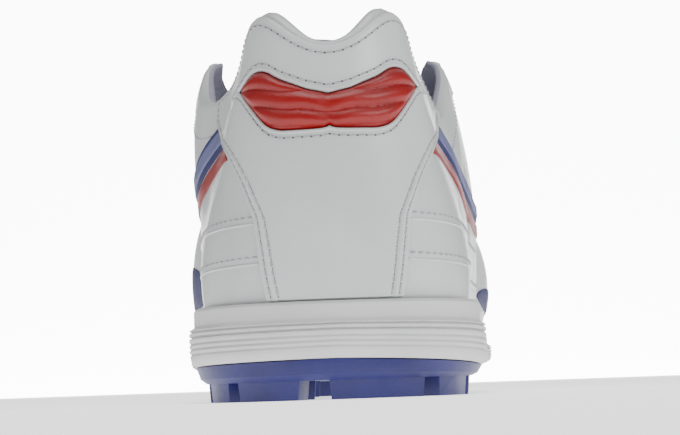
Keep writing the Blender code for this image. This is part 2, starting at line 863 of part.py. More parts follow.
def counter_rib(height, side):
    # Rib at which the counter ends, at a height of the skin
    rows = np.array(COUNTER_EDGE)
    column = 1 if side < 0 else 2
    ribs = np.linspace(0.1, 4.0, 157)
    points = skin(ribs * side, height)
    edge = np.interp(points[:, 2], HEEL_STACK + rows[:, 0] * TAB_HEIGHT, rows[:, column] * HEEL_WIDTH / 2)
    over = np.abs(points[:, 0]) - edge
    first = np.nonzero(over >= 0)[0][0]
    share = over[first] / (over[first] - over[first - 1])
    return float(ribs[first] - share * (ribs[1] - ribs[0]))


def make_counter(leather):
    outside = []
    inside = []
    for row in range(COUNTER_ROWS + 1):
        share = row / COUNTER_ROWS
        for column in range(-COUNTER_COLUMNS, COUNTER_COLUMNS + 1):
            side = -1 if column < 0 else 1
            across = abs(column) / COUNTER_COLUMNS
            foot = height_at_level(0.7 * across * side, COUNTER_FOOT)
            height = foot + (1 - foot) * share
            rib = side * across * counter_rib(height, side)
            if row == 0:
                height = height_at_level(rib, COUNTER_FOOT)
            outside.append(lifted(rib, height, OVERLAY_GAP + OVERLAY_THICKNESS))
            inside.append(lifted(rib, height, OVERLAY_GAP))
    index = np.arange(len(outside)).reshape(COUNTER_ROWS + 1, 2 * COUNTER_COLUMNS + 1).T
    faces = grid_faces(index)
    counter = shell("heel_counter", faces, np.array(inside), np.array(outside), leather)
    apply_boolean(counter, window_cutter(), "DIFFERENCE")
    return counter


def pad_outline():
    # Outline of the pad seen from behind, from its inner side round to its outer side
    rows = np.array(PAD_EDGE)
    across = rows[:, 0] * HEEL_WIDTH / 2
    low = HEEL_STACK + rows[:, 1] * TAB_HEIGHT
    high = HEEL_STACK + rows[:, 2] * TAB_HEIGHT
    return across, low, high


def window_cutter():
    across, low, high = pad_outline()
    lower = [(x, z - GAP) for x, z in zip(across, low)]
    upper = [(x, z + GAP) for x, z in zip(across, high)]
    tip = (across[-1] + GAP * 1.5, (low[-1] + high[-1]) / 2)
    half = lower + [tip] + upper[::-1]
    outline = half + [(-x, z) for x, z in reversed(half) if x > 0]
    count = len(outline)
    front = -HEEL_WIDTH / 8
    back = HEEL_WIDTH / 2
    points = [(x, front, z) for x, z in outline] + [(x, back, z) for x, z in outline]
    faces = [tuple(range(count)), tuple(range(count, 2 * count))[::-1]]
    for spot in range(count):
        after = (spot + 1) % count
        faces.append((spot, after, count + after, count + spot))
    return place("heel_window", points, faces, None, CUTTERS)


PAD_ROWS = 9


def pad_thickness(level, share):
    # Ribs run across the pad and fade out at its rim
    middle = HEEL_STACK + PAD_EDGE[0][1] * TAB_HEIGHT
    wave = 0.5 + 0.5 * math.cos(2 * math.pi * (level - middle) / PAD_RIB_PITCH)
    crown = 1 - (2 * share - 1) ** 4
    return PAD_THICKNESS * (0.7 + 0.3 * crown) + PAD_RIB_DEPTH * wave * crown


def make_pad(leather):
    across, low, high = pad_outline()
    outside = []
    inside = []
    columns = [-x for x in across[:0:-1]] + list(across)
    lows = list(low[:0:-1]) + list(low)
    highs = list(high[:0:-1]) + list(high)
    for x, bottom, top in zip(columns, lows, highs):
        for row in range(PAD_ROWS + 1):
            share = row / PAD_ROWS
            level = bottom + (top - bottom) * share
            edge = min(abs(abs(x) - across[-1]) / PAD_RIB_PITCH, 1)
            rise = pad_thickness(level, share) * (0.6 + 0.4 * edge)
            outside.append(seen(x, level, OVERLAY_GAP + rise))
            inside.append(seen(x, level, OVERLAY_GAP))
    index = np.arange(len(outside)).reshape(len(columns), PAD_ROWS + 1)
    faces = grid_faces(index)
    return shell("heel_pad", faces, np.array(inside), np.array(outside), leather)


EYESTAY_ROWS = 4


def make_eyestay(leather):
    half = [rib for rib in rib_list(UPPER_SPANS) if EYESTAY_EDGE[0][0] <= rib <= EYESTAY_EDGE[-1][0]]
    ribs = [-rib for rib in reversed(half)] + half
    edge = spline([row[0] for row in EYESTAY_EDGE], [[row[1]] for row in EYESTAY_EDGE])
    points = {}
    outside = []
    inside = []
    index = np.zeros((len(ribs), EYESTAY_ROWS + 1), dtype=int)
    for column, rib in enumerate(ribs):
        top = edge_top(rib)
        low = height_at_width(rib, float(edge(abs(rib))[0]) * EYESTAY_WIDTH)
        for row in range(EYESTAY_ROWS + 1):
            key = (rib, row)
            if row == EYESTAY_ROWS and abs(rib) >= VAMP_POINT:
                key = (abs(rib), row)
            if key not in points:
                height = low + (top - low) * row / EYESTAY_ROWS
                points[key] = len(outside)
                outside.append(lifted(rib, height, OVERLAY_GAP + OVERLAY_THICKNESS))
                inside.append(lifted(rib, height, OVERLAY_GAP))
            index[column, row] = points[key]
    faces = grid_faces(index[:len(half)]) + grid_faces(index[len(half):])
    return shell("eyestay", faces, np.array(inside), np.array(outside), leather)


TONGUE_RIBS = (9.3, 8.9, 8.5, 8.0, 7.5, 7.0, 6.7, 6.4)
TONGUE_COLUMNS = 5
TONGUE_STEPS = 4


def tongue_section(rib, distance):
    # Points across the tongue at a rib, under the skin by a distance
    points = []
    for column in range(-TONGUE_COLUMNS, TONGUE_COLUMNS + 1):
        side = -1 if column < 0 else 1
        width = abs(column) / TONGUE_COLUMNS * TONGUE_WIDTH / 2 * (1 - 0.12 * (rib - RIDGE_START))
        height = height_below(rib * side, 1.0, width)
        points.append(lifted(rib * side, height, -distance))
    return np.array(points)


def make_tongue(cloth):
    depth = UPPER_WALL + TONGUE_GAP
    outside = []
    inside = []
    for rib in TONGUE_RIBS:
        outside.append(tongue_section(rib, depth))
        inside.append(tongue_section(rib, depth + TONGUE_THICKNESS))
    slope = ridge_slope(RIDGE_START)
    middle = outside[-1][TONGUE_COLUMNS].copy()
    for step in range(1, TONGUE_STEPS + 1):
        share = step / TONGUE_STEPS
        shift = np.array((-TONGUE_LEAN * share, -TONGUE_REACH * share, -slope * TONGUE_REACH * share))
        flat = 1 - 0.85 * smooth(share, 0, 1)
        for rows, start in ((outside, outside[len(TONGUE_RIBS) - 1]), (inside, inside[len(TONGUE_RIBS) - 1])):
            section = start.copy()
            section[:, 2] = middle[2] + (section[:, 2] - middle[2]) * flat
            section[:, 0] = middle[0] + (section[:, 0] - middle[0]) * (1 + 0.18 * share)
            rows.append(section + shift)
    outside = np.array(outside)
    inside = np.array(inside)
    index = np.arange(outside.shape[0] * outside.shape[1]).reshape(outside.shape[:2])
    faces = grid_faces(index)
    return shell("tongue", faces, inside.reshape(-1, 3), outside.reshape(-1, 3), cloth, roundness=0.3)


LACE_OVER = 0.61
LACE_LIFT = OVERLAY_GAP + OVERLAY_THICKNESS + LACE_GAP
LACE_STEPS = 5
EYELET_RIBS = (6.6, 8.45)


def eyelet_ribs():
    return np.linspace(EYELET_RIBS[0], EYELET_RIBS[1], EYELET_PAIRS)


def eyelet_height(rib):
    top = edge_top(rib)
    return height_below(rib, top, EYELET_INSET)


def lace_path(start_rib, end_rib):
    # From an eyelet on the outer side over the ridge to an eyelet on the inner side
    rows = []
    start = eyelet_height(start_rib)
    end = eyelet_height(-end_rib)
    for step in range(LACE_STEPS + 1):
        share = step / LACE_STEPS
        rib = start_rib + (end_rib - start_rib) * share
        if share <= 0.5:
            height = start + (1 - start) * share * 2
            rows.append((rib, height))
        else:
            height = 1 - (1 - end) * (share * 2 - 1)
            rows.append((-rib, height))
    return rows


def lace_bar(name, path, lift, material):
    ribs = np.array([row[0] for row in path])
    heights = np.array([row[1] for row in path])
    low = lifted(ribs, heights, lift)
    out = skin_out(ribs, heights)
    along = np.gradient(low, axis=0)
    across = np.cross(along, out)
    across /= np.linalg.norm(across, axis=1, keepdims=True)
    half = across * LACE_WIDTH / 2
    top = out * LACE_THICKNESS
    rings = (low - half, low + half, low + half + top, low - half + top)
    points = [ring[step] for step in range(len(path)) for ring in rings]
    faces = [(0, 1, 2, 3), tuple(len(points) - 4 + corner for corner in (3, 2, 1, 0))]
    for step in range(len(path) - 1):
        for corner in range(4):
            after = (corner + 1) % 4
            faces.append((4 * step + corner, 4 * step + after, 4 * step + 4 + after, 4 * step + 4 + corner))
    return place(name, points, faces, material, CUTTERS)


def make_laces(cord):
    ribs = eyelet_ribs()
    laces = lace_bar("laces", lace_path(ribs[-1], ribs[-1]), LACE_LIFT, cord)
    for pair in range(EYELET_PAIRS - 1):
        apply_boolean(laces, lace_bar("bar", lace_path(ribs[pair], ribs[pair + 1]), LACE_LIFT, None), "UNION")
        over = LACE_LIFT + LACE_THICKNESS * LACE_OVER
        apply_boolean(laces, lace_bar("bar", lace_path(ribs[pair + 1], ribs[pair]), over, None), "UNION")
    CUTTERS.objects.unlink(laces)
    PARTS.objects.link(laces)
    return laces


def plan_centre():
    spots = edge_curve(sole_ribs())
    return (spots.min(axis=0) + spots.max(axis=0)) / 2


clear_scene()
PARTS = new_collection("turf_shoe")
CUTTERS = new_collection("cutters")
CENTRE = plan_centre()

white_leather = new_material("white_leather", (0.66, 0.68, 0.70), 0.38)
red_leather = new_material("red_leather", (0.48, 0.01, 0.008), 0.35)
white_foam = new_material("white_foam", (0.70, 0.70, 0.71), 0.6)
blue_rubber = new_material("blue_rubber", (0.014, 0.018, 0.21), 0.5)
grey_cloth = new_material("grey_cloth", (0.42, 0.42, 0.50), 0.8)
white_cord = new_material("white_cord", (0.74, 0.74, 0.75), 0.8)

shoe_parts = [
    make_outsole(blue_rubber),
    make_midsole(white_foam),
    make_insole(grey_cloth),
    make_upper(white_leather),
    make_counter(white_leather),
    make_pad(red_leather),
    make_eyestay(white_leather),
    make_tongue(grey_cloth),
    make_laces(white_cord),
]
for part in shoe_parts:
    make_smooth(part)
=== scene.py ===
# Turf shoe for the right foot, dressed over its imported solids: toe to +Y, outer side of the foot to +X
import math

import bmesh
import bpy
import numpy as np
from mathutils import Matrix, Vector


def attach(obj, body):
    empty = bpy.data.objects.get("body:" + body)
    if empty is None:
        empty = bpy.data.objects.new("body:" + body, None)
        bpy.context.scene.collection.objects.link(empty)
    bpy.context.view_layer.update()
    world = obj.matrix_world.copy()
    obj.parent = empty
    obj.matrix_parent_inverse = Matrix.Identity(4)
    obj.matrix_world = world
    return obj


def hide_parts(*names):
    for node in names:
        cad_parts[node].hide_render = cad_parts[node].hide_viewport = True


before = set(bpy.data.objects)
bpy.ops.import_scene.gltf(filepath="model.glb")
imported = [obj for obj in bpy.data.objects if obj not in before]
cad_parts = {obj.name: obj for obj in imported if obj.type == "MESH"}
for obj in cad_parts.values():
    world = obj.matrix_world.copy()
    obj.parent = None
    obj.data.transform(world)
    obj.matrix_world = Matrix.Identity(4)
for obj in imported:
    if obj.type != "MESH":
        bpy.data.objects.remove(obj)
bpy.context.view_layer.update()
print("frame loaded")

# Driving sizes of the shoe in metres, the same as the solids have
shoe = {
    "length": 0.288, "ballWidth": 0.101, "heelWidth": 0.078,
    "heelStack": 0.0242, "forefootStack": 0.0174, "lug": 0.0048, "toeSpring": 0.012, "archRise": 0.003,
    "heelBevel": 0.0043, "forefootBevel": 0.0080, "lipDepth": 0.0028, "lipInset": 0.0034,
    "tabHeight": 0.0728, "instepHeight": 0.0779, "toeBoxHeight": 0.0226,
    "gap": 0.0003, "seatGap": 0.0006,
    # Shares of the length where the toe springs up, the rim falls, and the arch rises and falls
    "springFrom": 0.66, "rimFall": (0.25, 0.62), "archStart": (0.24, 0.36), "archFall": (0.42, 0.56),
}
tip = 13  # ribs run from 0 at the back of the heel to 13 at the tip of the toe, minus on the inner side
throatStart = 5.8
ridgeStart = 6.35
vampPoint = 8.92
nudge = 0.01  # step in ribs for slopes
fineNudge = 0.004

# Rib, forward as a share of the length, across as shares of half the heel and ball widths
soleEdge = (
    (-13, 1.0, 0.0, -0.13), (-12, 0.983, 0.0, -0.39), (-11, 0.935, 0.0, -0.66), (-10, 0.87, 0.0, -0.86),
    (-9, 0.79, 0.0, -0.97), (-8, 0.71, 0.0, -0.97), (-7, 0.6, 0.0, -0.84), (-6, 0.49, 0.0, -0.69),
    (-5, 0.38, 0.1, -0.59), (-4, 0.26, 0.5, -0.36), (-3, 0.16, 0.99, 0.0), (-2, 0.083, 0.93, 0.0),
    (-1, 0.0215, 0.6, 0.0), (0, 0.0, 0.0, 0.0), (1, 0.0215, 0.6, 0.0), (2, 0.083, 0.93, 0.0),
    (3, 0.16, 1.0, 0.0), (4, 0.26, 0.5, 0.39), (5, 0.38, 0.1, 0.74), (6, 0.49, 0.0, 0.88),
    (7, 0.58, 0.0, 0.95), (8, 0.66, 0.0, 0.975), (9, 0.75, 0.0, 0.955), (10, 0.84, 0.0, 0.86),
    (11, 0.92, 0.0, 0.62), (12, 0.978, 0.0, 0.27), (13, 1.0, 0.0, -0.13),
)
# Rib, forward as a share of the length, across of half the heel width, up of the tab and instep heights
toplineRows = (
    (-6.35, 0.413, -0.051, 0.0, 1.0), (-6.1, 0.406, -0.52, 0.0, 1.005), (-5.8, 0.389, -0.83, 0.0, 0.985),
    (-5.5, 0.3646, -0.92, 0.0, 0.94), (-5.1, 0.33, -0.95, 0.0, 0.85), (-4.6, 0.2917, -0.94, 0.41, 0.388),
    (-4.0, 0.25, -0.85, 0.783, 0.0), (-3.2, 0.2014, -0.71, 0.791, 0.0), (-2.6, 0.1528, -0.605, 0.824, 0.0),
    (-2.0, 0.1111, -0.52, 0.904, 0.0), (-1.5, 0.0833, -0.475, 0.97, 0.0), (-1.0, 0.0573, -0.38, 0.996, 0.0),
    (-0.55, 0.0382, -0.22, 0.925, 0.0), (0.0, 0.0312, 0.0, 0.876, 0.0), (0.55, 0.0382, 0.22, 0.925, 0.0),
    (1.0, 0.0573, 0.37, 0.997, 0.0), (1.5, 0.0833, 0.465, 0.972, 0.0), (2.0, 0.1111, 0.505, 0.911, 0.0),
    (2.6, 0.1597, 0.6, 0.808, 0.0), (3.2, 0.1997, 0.71, 0.709, 0.0), (4.0, 0.2431, 0.79, 0.698, 0.0),
    (4.6, 0.2917, 0.84, 0.38, 0.357), (5.1, 0.33, 0.88, 0.0, 0.816), (5.5, 0.3646, 0.86, 0.0, 0.912),
    (5.8, 0.389, 0.77, 0.0, 0.965), (6.1, 0.406, 0.44, 0.0, 0.995), (6.35, 0.413, -0.051, 0.0, 1.0),
)
# Rib, forward, across as a share of half the ball width, up as shares of the instep and toe box heights
ridgeRows = (
    (6.35, 0.413, -0.04, 1.0, 0.0), (7, 0.528, -0.05, 0.866, 0.0), (8, 0.632, -0.06, 0.732, 0.0),
    (9, 0.722, -0.07, 0.5, 0.385), (10, 0.809, -0.085, 0.3, 0.68), (11, 0.875, -0.1, 0.13, 0.96),
    (12, 0.9167, -0.115, 0.04, 1.026), (13, 0.9375, -0.125, 0.0, 1.0),
)
# Rib, rise, belly on the inner and outer side, drop, lean on the inner and outer side
fullnessRows = (
    (0.0, 0.27, 0.109, 0.109, 0.295, 0.109, 0.109), (1.0, 0.27, 0.1, 0.1, 0.308, 0.1, 0.1),
    (2.0, 0.257, 0.09, 0.09, 0.282, 0.09, 0.09), (3.0, 0.23, 0.085, 0.085, 0.23, 0.09, 0.09),
    (4.0, 0.24, 0.095, 0.095, 0.23, 0.1, 0.09), (5.0, 0.29, 0.11, 0.12, 0.27, 0.11, 0.08),
    (5.5, 0.32, 0.13, 0.15, 0.257, 0.16, 0.11), (6.0, 0.345, 0.14, 0.18, 0.154, 0.33, 0.26),
    (6.35, 0.355, 0.15, 0.21, 0.06, 0.5, 0.41), (7.0, 0.37, 0.16, 0.26, 0.0, 0.74, 0.57),
    (8.0, 0.385, 0.15, 0.34, 0.0, 0.9, 0.74), (9.0, 0.33, 0.12, 0.25, 0.0, 0.76, 0.68),
    (10.0, 0.26, 0.09, 0.13, 0.0, 0.58, 0.56), (11.0, 0.205, 0.07, 0.08, 0.0, 0.4, 0.4),
    (12.0, 0.18, 0.05, 0.05, 0.0, 0.24, 0.24), (13.0, 0.167, 0.04, 0.04, 0.0, 0.16, 0.16),
)
# Rib, half width of the throat as a share of half the heel width
throatRows = (
    (5.8, 0.82), (5.95, 0.8), (6.2, 0.72), (6.4, 0.61), (6.6, 0.54), (7.2, 0.43), (8.0, 0.33), (8.4, 0.28),
    (8.65, 0.22), (8.8, 0.15), (8.88, 0.085), (8.92, 0.0),
)


def splineThrough(knots, values, closed=False):
    # Cubic spline with free ends, or with the last row joined to the first
    knots = np.array(knots, dtype=float)
    values = np.array(values, dtype=float)
    span = np.diff(knots)
    rise = (values[1:] - values[:-1]) / span[:, None]
    count = len(knots)
    matrix = np.zeros((count, count))
    right = np.zeros(values.shape)
    for row in range(1, count - 1):
        matrix[row, row - 1] = span[row]
        matrix[row, row] = 2 * (span[row - 1] + span[row])
        matrix[row, row + 1] = span[row - 1]
        right[row] = 3 * (rise[row - 1] * span[row] + rise[row] * span[row - 1])
    if closed:
        matrix[0, 0] = 2 * (span[-1] + span[0])
        matrix[0, 1] = span[-1]
        matrix[0, -2] = span[0]
        right[0] = 3 * (rise[-1] * span[0] + rise[0] * span[-1])
        matrix[-1, 0] = 1
        matrix[-1, -1] = -1
    else:
        matrix[0, 0] = 2
        matrix[0, 1] = 1
        right[0] = 3 * rise[0]
        matrix[-1, -1] = 2
        matrix[-1, -2] = 1
        right[-1] = 3 * rise[-1]
    slope = np.linalg.solve(matrix, right)

    def curve(position):
        position = np.asarray(position, dtype=float)
        index = np.clip(np.searchsorted(knots, position, side="right") - 1, 0, count - 2)
        step = span[index][..., None]
        u = (position - knots[index])[..., None] / step
        start = values[index] * (1 + 2 * u) * (1 - u) ** 2 + slope[index] * step * u * (1 - u) ** 2
        end = values[index + 1] * u ** 2 * (3 - 2 * u) + slope[index + 1] * step * u ** 2 * (u - 1)
        return start + end

    return curve


def unit(vectors):
    return vectors / np.linalg.norm(vectors, axis=-1, keepdims=True)


def runLengths(points):
    # Length along points, up to each of them
    return np.concatenate(((0.0,), np.cumsum(np.linalg.norm(np.diff(points, axis=0), axis=1))))


def straight(table, position, column=1):
    rows = np.array(table)
    return np.interp(position, rows[:, 0], rows[:, column])


def ease(value, low, high):
    share = np.clip((value - low) / (high - low), 0, 1)
    return share * share * (3 - 2 * share)


def wrap(rib):
    return (np.asarray(rib, dtype=float) + tip) % (2 * tip) - tip


def toeSpring(forward):
    share = np.clip((forward / shoe["length"] - shoe["springFrom"]) / (1 - shoe["springFrom"]), 0, None)
    return shoe["toeSpring"] * share ** 2


def rimHeight(forward):
    fall = ease(forward / shoe["length"], *shoe["rimFall"])
    return shoe["heelStack"] + (shoe["forefootStack"] - shoe["heelStack"]) * fall + toeSpring(forward)


def treadHeight(forward):
    share = forward / shoe["length"]
    arch = ease(share, *shoe["archStart"]) * (1 - ease(share, *shoe["archFall"]))
    return shoe["lug"] + shoe["archRise"] * arch + toeSpring(forward)


edgeRows = np.array(soleEdge)
edgeHeel = np.sign(edgeRows[:, 0]) * edgeRows[:, 2] * shoe["heelWidth"]
edgeAcross = (edgeHeel + edgeRows[:, 3] * shoe["ballWidth"]) / 2
edgeForward = edgeRows[:, 1] * shoe["length"]
edgeCurve = splineThrough(edgeRows[:, 0], np.column_stack((edgeAcross, edgeForward)), True)


def planOut(rib):
    along = unit(edgeCurve(wrap(np.asarray(rib) + nudge)) - edgeCurve(wrap(np.asarray(rib) - nudge)))
    return np.stack((along[..., 1], -along[..., 0]), axis=-1)


def plan(rib, inset=0.0):
    return edgeCurve(wrap(rib)) - planOut(rib) * np.asarray(inset, dtype=float)[..., None]


def bevelOf(rib):
    return shoe["heelBevel"] + (shoe["forefootBevel"] - shoe["heelBevel"]) * ease(np.abs(rib), 3, 6)


topRows = np.array(toplineRows)
topForward = topRows[:, 1] * shoe["length"]
topUp = topRows[:, 3] * shoe["tabHeight"] + topRows[:, 4] * shoe["instepHeight"]
toplineCurve = splineThrough(topRows[:, 0], np.column_stack((
    topRows[:, 2] * shoe["heelWidth"] / 2, topForward, rimHeight(topForward) + topUp)))
ridgeTable = np.array(ridgeRows)
ridgeForward = ridgeTable[:, 1] * shoe["length"]
ridgeUp = ridgeTable[:, 3] * shoe["instepHeight"] + ridgeTable[:, 4] * shoe["toeBoxHeight"]
ridgeCurve = splineThrough(ridgeTable[:, 0], np.column_stack((
    ridgeTable[:, 2] * shoe["ballWidth"] / 2, ridgeForward, rimHeight(ridgeForward) + ridgeUp)))
fullTable = np.array(fullnessRows)
fullCurve = splineThrough(fullTable[:, 0], fullTable[:, 1:])


def fullness(rib):
    full = fullCurve(np.abs(rib))
    belly = np.where(rib < 0, full[..., 1], full[..., 2]) * shoe["ballWidth"] / 2
    lean = np.where(rib < 0, full[..., 4], full[..., 5]) * shoe["ballWidth"] / 2
    drop = np.clip(full[..., 3], 0, None)
    return full[..., 0] * shoe["instepHeight"], belly, drop * shoe["instepHeight"], lean


def footInset(rib):
    rise, belly, _, _ = fullness(rib)
    return shoe["lipInset"] + shoe["seatGap"] + shoe["lipDepth"] * belly / rise


def ridgeSlope(rib):
    size = np.clip(np.abs(rib), ridgeStart + nudge, tip - nudge)
    change = ridgeCurve(size + nudge) - ridgeCurve(size - nudge)
    return change[..., 2] / change[..., 1]


def skin(rib, height):
    # Outside of the upper at a rib, from 0 at its foot to 1 at its top
    rib, height = np.broadcast_arrays(wrap(rib), np.asarray(height, dtype=float))
    size = np.abs(rib)
    rise, belly, drop, lean = fullness(rib)
    footPlan = plan(rib, footInset(rib))
    out = planOut(rib)
    seat = rimHeight(footPlan[..., 1]) - shoe["lipDepth"] + shoe["seatGap"]
    foot = np.concatenate((footPlan, seat[..., None]), axis=-1)
    collarTop = toplineCurve(np.clip(rib, -ridgeStart, ridgeStart))
    top = np.where((size >= ridgeStart)[..., None], ridgeCurve(np.maximum(size, ridgeStart)), collarTop)
    lower = foot.copy()
    lower[..., :2] += out * belly[..., None]
    lower[..., 2] += rise
    upper = top.copy()
    upper[..., :2] += out * lean[..., None]
    upper[..., 2] -= drop
    upper[..., 2] += lean * out[..., 1] * ridgeSlope(rib) * ease(size, throatStart, ridgeStart)
    t = height[..., None]
    return foot * (1 - t) ** 3 + lower * 3 * t * (1 - t) ** 2 + upper * 3 * t ** 2 * (1 - t) + top * t ** 3


def skinOut(rib, height):
    rib, height = np.broadcast_arrays(wrap(rib), np.asarray(height, dtype=float))
    up = skin(rib, np.clip(height + fineNudge, 0, 1)) - skin(rib, np.clip(height - fineNudge, 0, 1))
    along = skin(rib + fineNudge, height) - skin(rib - fineNudge, height)
    out = np.cross(along, up)
    onRidge = (np.abs(rib) >= ridgeStart) & (height > 1 - fineNudge)
    slope = ridgeSlope(rib)
    ridgeOut = np.stack((np.zeros_like(slope), -slope, np.ones_like(slope)), axis=-1)
    return unit(np.where(onRidge[..., None], ridgeOut, out))


def lifted(rib, height, distance):
    return skin(rib, height) + skinOut(rib, height) * np.asarray(distance, dtype=float)[..., None]


samples = np.linspace(0, 1, 241)


def heightAtWidth(rib, width):
    # Highest place on a rib that lies at least this far from the ridge
    points = skin(rib, samples)
    ridge = ridgeCurve(np.maximum(np.abs(wrap(rib)), ridgeStart))
    distance = np.linalg.norm(points - ridge, axis=-1)
    if distance[-1] >= width:
        return 1.0
    index = np.nonzero(distance >= width)[0][-1]
    share = (distance[index] - width) / (distance[index] - distance[index + 1])
    return samples[index] + share * samples[1]


def heightBelow(rib, top, length):
    # Place on a rib at a length along it below another place
    run = runLengths(skin(rib, samples * top))
    return np.interp(run[-1] - np.asarray(length), run, samples * top)


def heightsAtLevel(ribs, levels):
    # Place on each rib at a level above the floor, on its rising part
    rises = skin(np.asarray(ribs, dtype=float)[:, None], samples[None, :])[..., 2]
    places = []
    for points, level in zip(rises, np.broadcast_to(levels, len(rises))):
        rising = int(np.argmax(points)) + 1
        places.append(np.interp(level, points[:rising], samples[:rising]))
    return np.array(places)


def heightAtLevel(rib, level):
    return float(heightsAtLevel([rib], level)[0])


def edgeTop(rib):
    # The upper ends at the topline, at the edge of the throat, or past the vamp point at the ridge
    size = abs(float(rib))
    if size <= throatRows[0][0] or size >= vampPoint:
        return 1.0
    return heightAtWidth(rib, float(straight(throatRows, size)) * shoe["heelWidth"] / 2)


def locate(across, level):
    # Rib and height of the point of the heel seen from behind at a place across and a level
    rib = np.asarray(across, dtype=float) / shoe["heelWidth"] * 5
    height = (np.asarray(level, dtype=float) - shoe["heelStack"]) / shoe["tabHeight"]
    for _ in range(14):
        point = skin(rib, height)
        byRib = (skin(rib + 0.001, height) - point) / 0.001
        byHeight = (skin(rib, height + 0.001) - point) / 0.001
        missX = across - point[..., 0]
        missZ = level - point[..., 2]
        size = byRib[..., 0] * byHeight[..., 2] - byHeight[..., 0] * byRib[..., 2]
        rib = rib + (missX * byHeight[..., 2] - missZ * byHeight[..., 0]) / size
        height = height + (missZ * byRib[..., 0] - missX * byRib[..., 2]) / size
    return rib, height


def seen(across, level, lift):
    # Point of a layer over the heel seen from behind at a place across and a level
    across, level = np.broadcast_arrays(np.asarray(across, dtype=float), np.asarray(level, dtype=float))
    lift = np.broadcast_to(np.asarray(lift, dtype=float), across.shape)
    shift = np.zeros(across.shape + (3,))
    for _ in range(5):
        rib, height = locate(across - shift[..., 0], level - shift[..., 2])
        shift = skinOut(rib, height) * lift[..., None]
    return skin(rib, height) + shift


planSpots = edgeCurve(np.linspace(-tip, tip, 209))
centre = np.array((*((planSpots.min(axis=0) + planSpots.max(axis=0)) / 2), 0.0))


# Materials: what a finish doesn't say of itself is as in plainLook, sizes in metres
plainLook = {
    "patch": 0.01, "patchDetail": 3, "patchSpread": (0.4, 0.75), "rough": (0.5, 0.6),
    "grain": 0.0008, "grainDepth": 0.00004, "fine": 0.00025, "fineDepth": 0.00002,
    "coat": 0.0, "coatRough": 0.5, "sheen": 0.0, "sheenRough": 0.4,
}
looks = {
    "pearlLeather": {"colour": (0.66, 0.68, 0.685), "other": (0.58, 0.60, 0.605), "patch": 0.03,
                     "rough": (0.34, 0.48), "grain": 0.0009, "grainDepth": 0.00006, "fine": 0.00028,
                     "coat": 0.35, "coatRough": 0.28},
    "redLeather": {"colour": (0.30, 0.0008, 0.0006), "other": (0.24, 0.0006, 0.0005), "patch": 0.012,
                   "rough": (0.36, 0.48), "grain": 0.0007, "grainDepth": 0.00005,
                   "coat": 0.12, "coatRough": 0.3},
    "whiteFoam": {"colour": (0.72, 0.72, 0.735), "other": (0.66, 0.66, 0.67), "patch": 0.02,
                  "rough": (0.5, 0.62), "grain": 0.0006, "grainDepth": 0.00003, "fine": 0.0002},
    "blueRubber": {"colour": (0.003, 0.004, 0.13), "other": (0.002, 0.003, 0.09), "patch": 0.015,
                   "rough": (0.34, 0.5), "grain": 0.0005, "grainDepth": 0.00003, "fine": 0.00018,
                   "coat": 0.15, "coatRough": 0.4},
    "liningCloth": {"colour": (0.40, 0.40, 0.49), "other": (0.31, 0.31, 0.40), "rough": (0.85, 0.95),
                    "grainDepth": 0.00012, "fine": 0.0003, "fineDepth": 0.00004, "sheen": 0.35},
    "laceCord": {"colour": (0.76, 0.76, 0.78), "other": (0.62, 0.62, 0.66), "patch": 0.004,
                 "rough": (0.8, 0.9), "grain": 0.0007, "grainDepth": 0.00015, "fineDepth": 0.00004,
                 "sheen": 0.3},
    "thread": {"colour": (0.46, 0.46, 0.48), "other": (0.32, 0.32, 0.34), "patch": 0.002,
               "rough": (0.6, 0.75), "grain": 0.0004, "grainDepth": 0.00006, "fine": 0.00015, "sheen": 0.2},
    # needleHole: dark grey painted shade, standing in for the shade inside punched eyelet holes and needle
    # holes
    "needleHole": {"colour": (0.16, 0.16, 0.17), "other": (0.10, 0.10, 0.11), "patch": 0.002,
                   "rough": (0.8, 0.9), "grain": 0.0004, "grainDepth": 0.00003, "fine": 0.00015},
    "navyFilm": {"colour": (0.012, 0.014, 0.11), "other": (0.008, 0.010, 0.08)},
    "lilacFilm": {"colour": (0.13, 0.14, 0.30), "other": (0.10, 0.11, 0.25)},
}


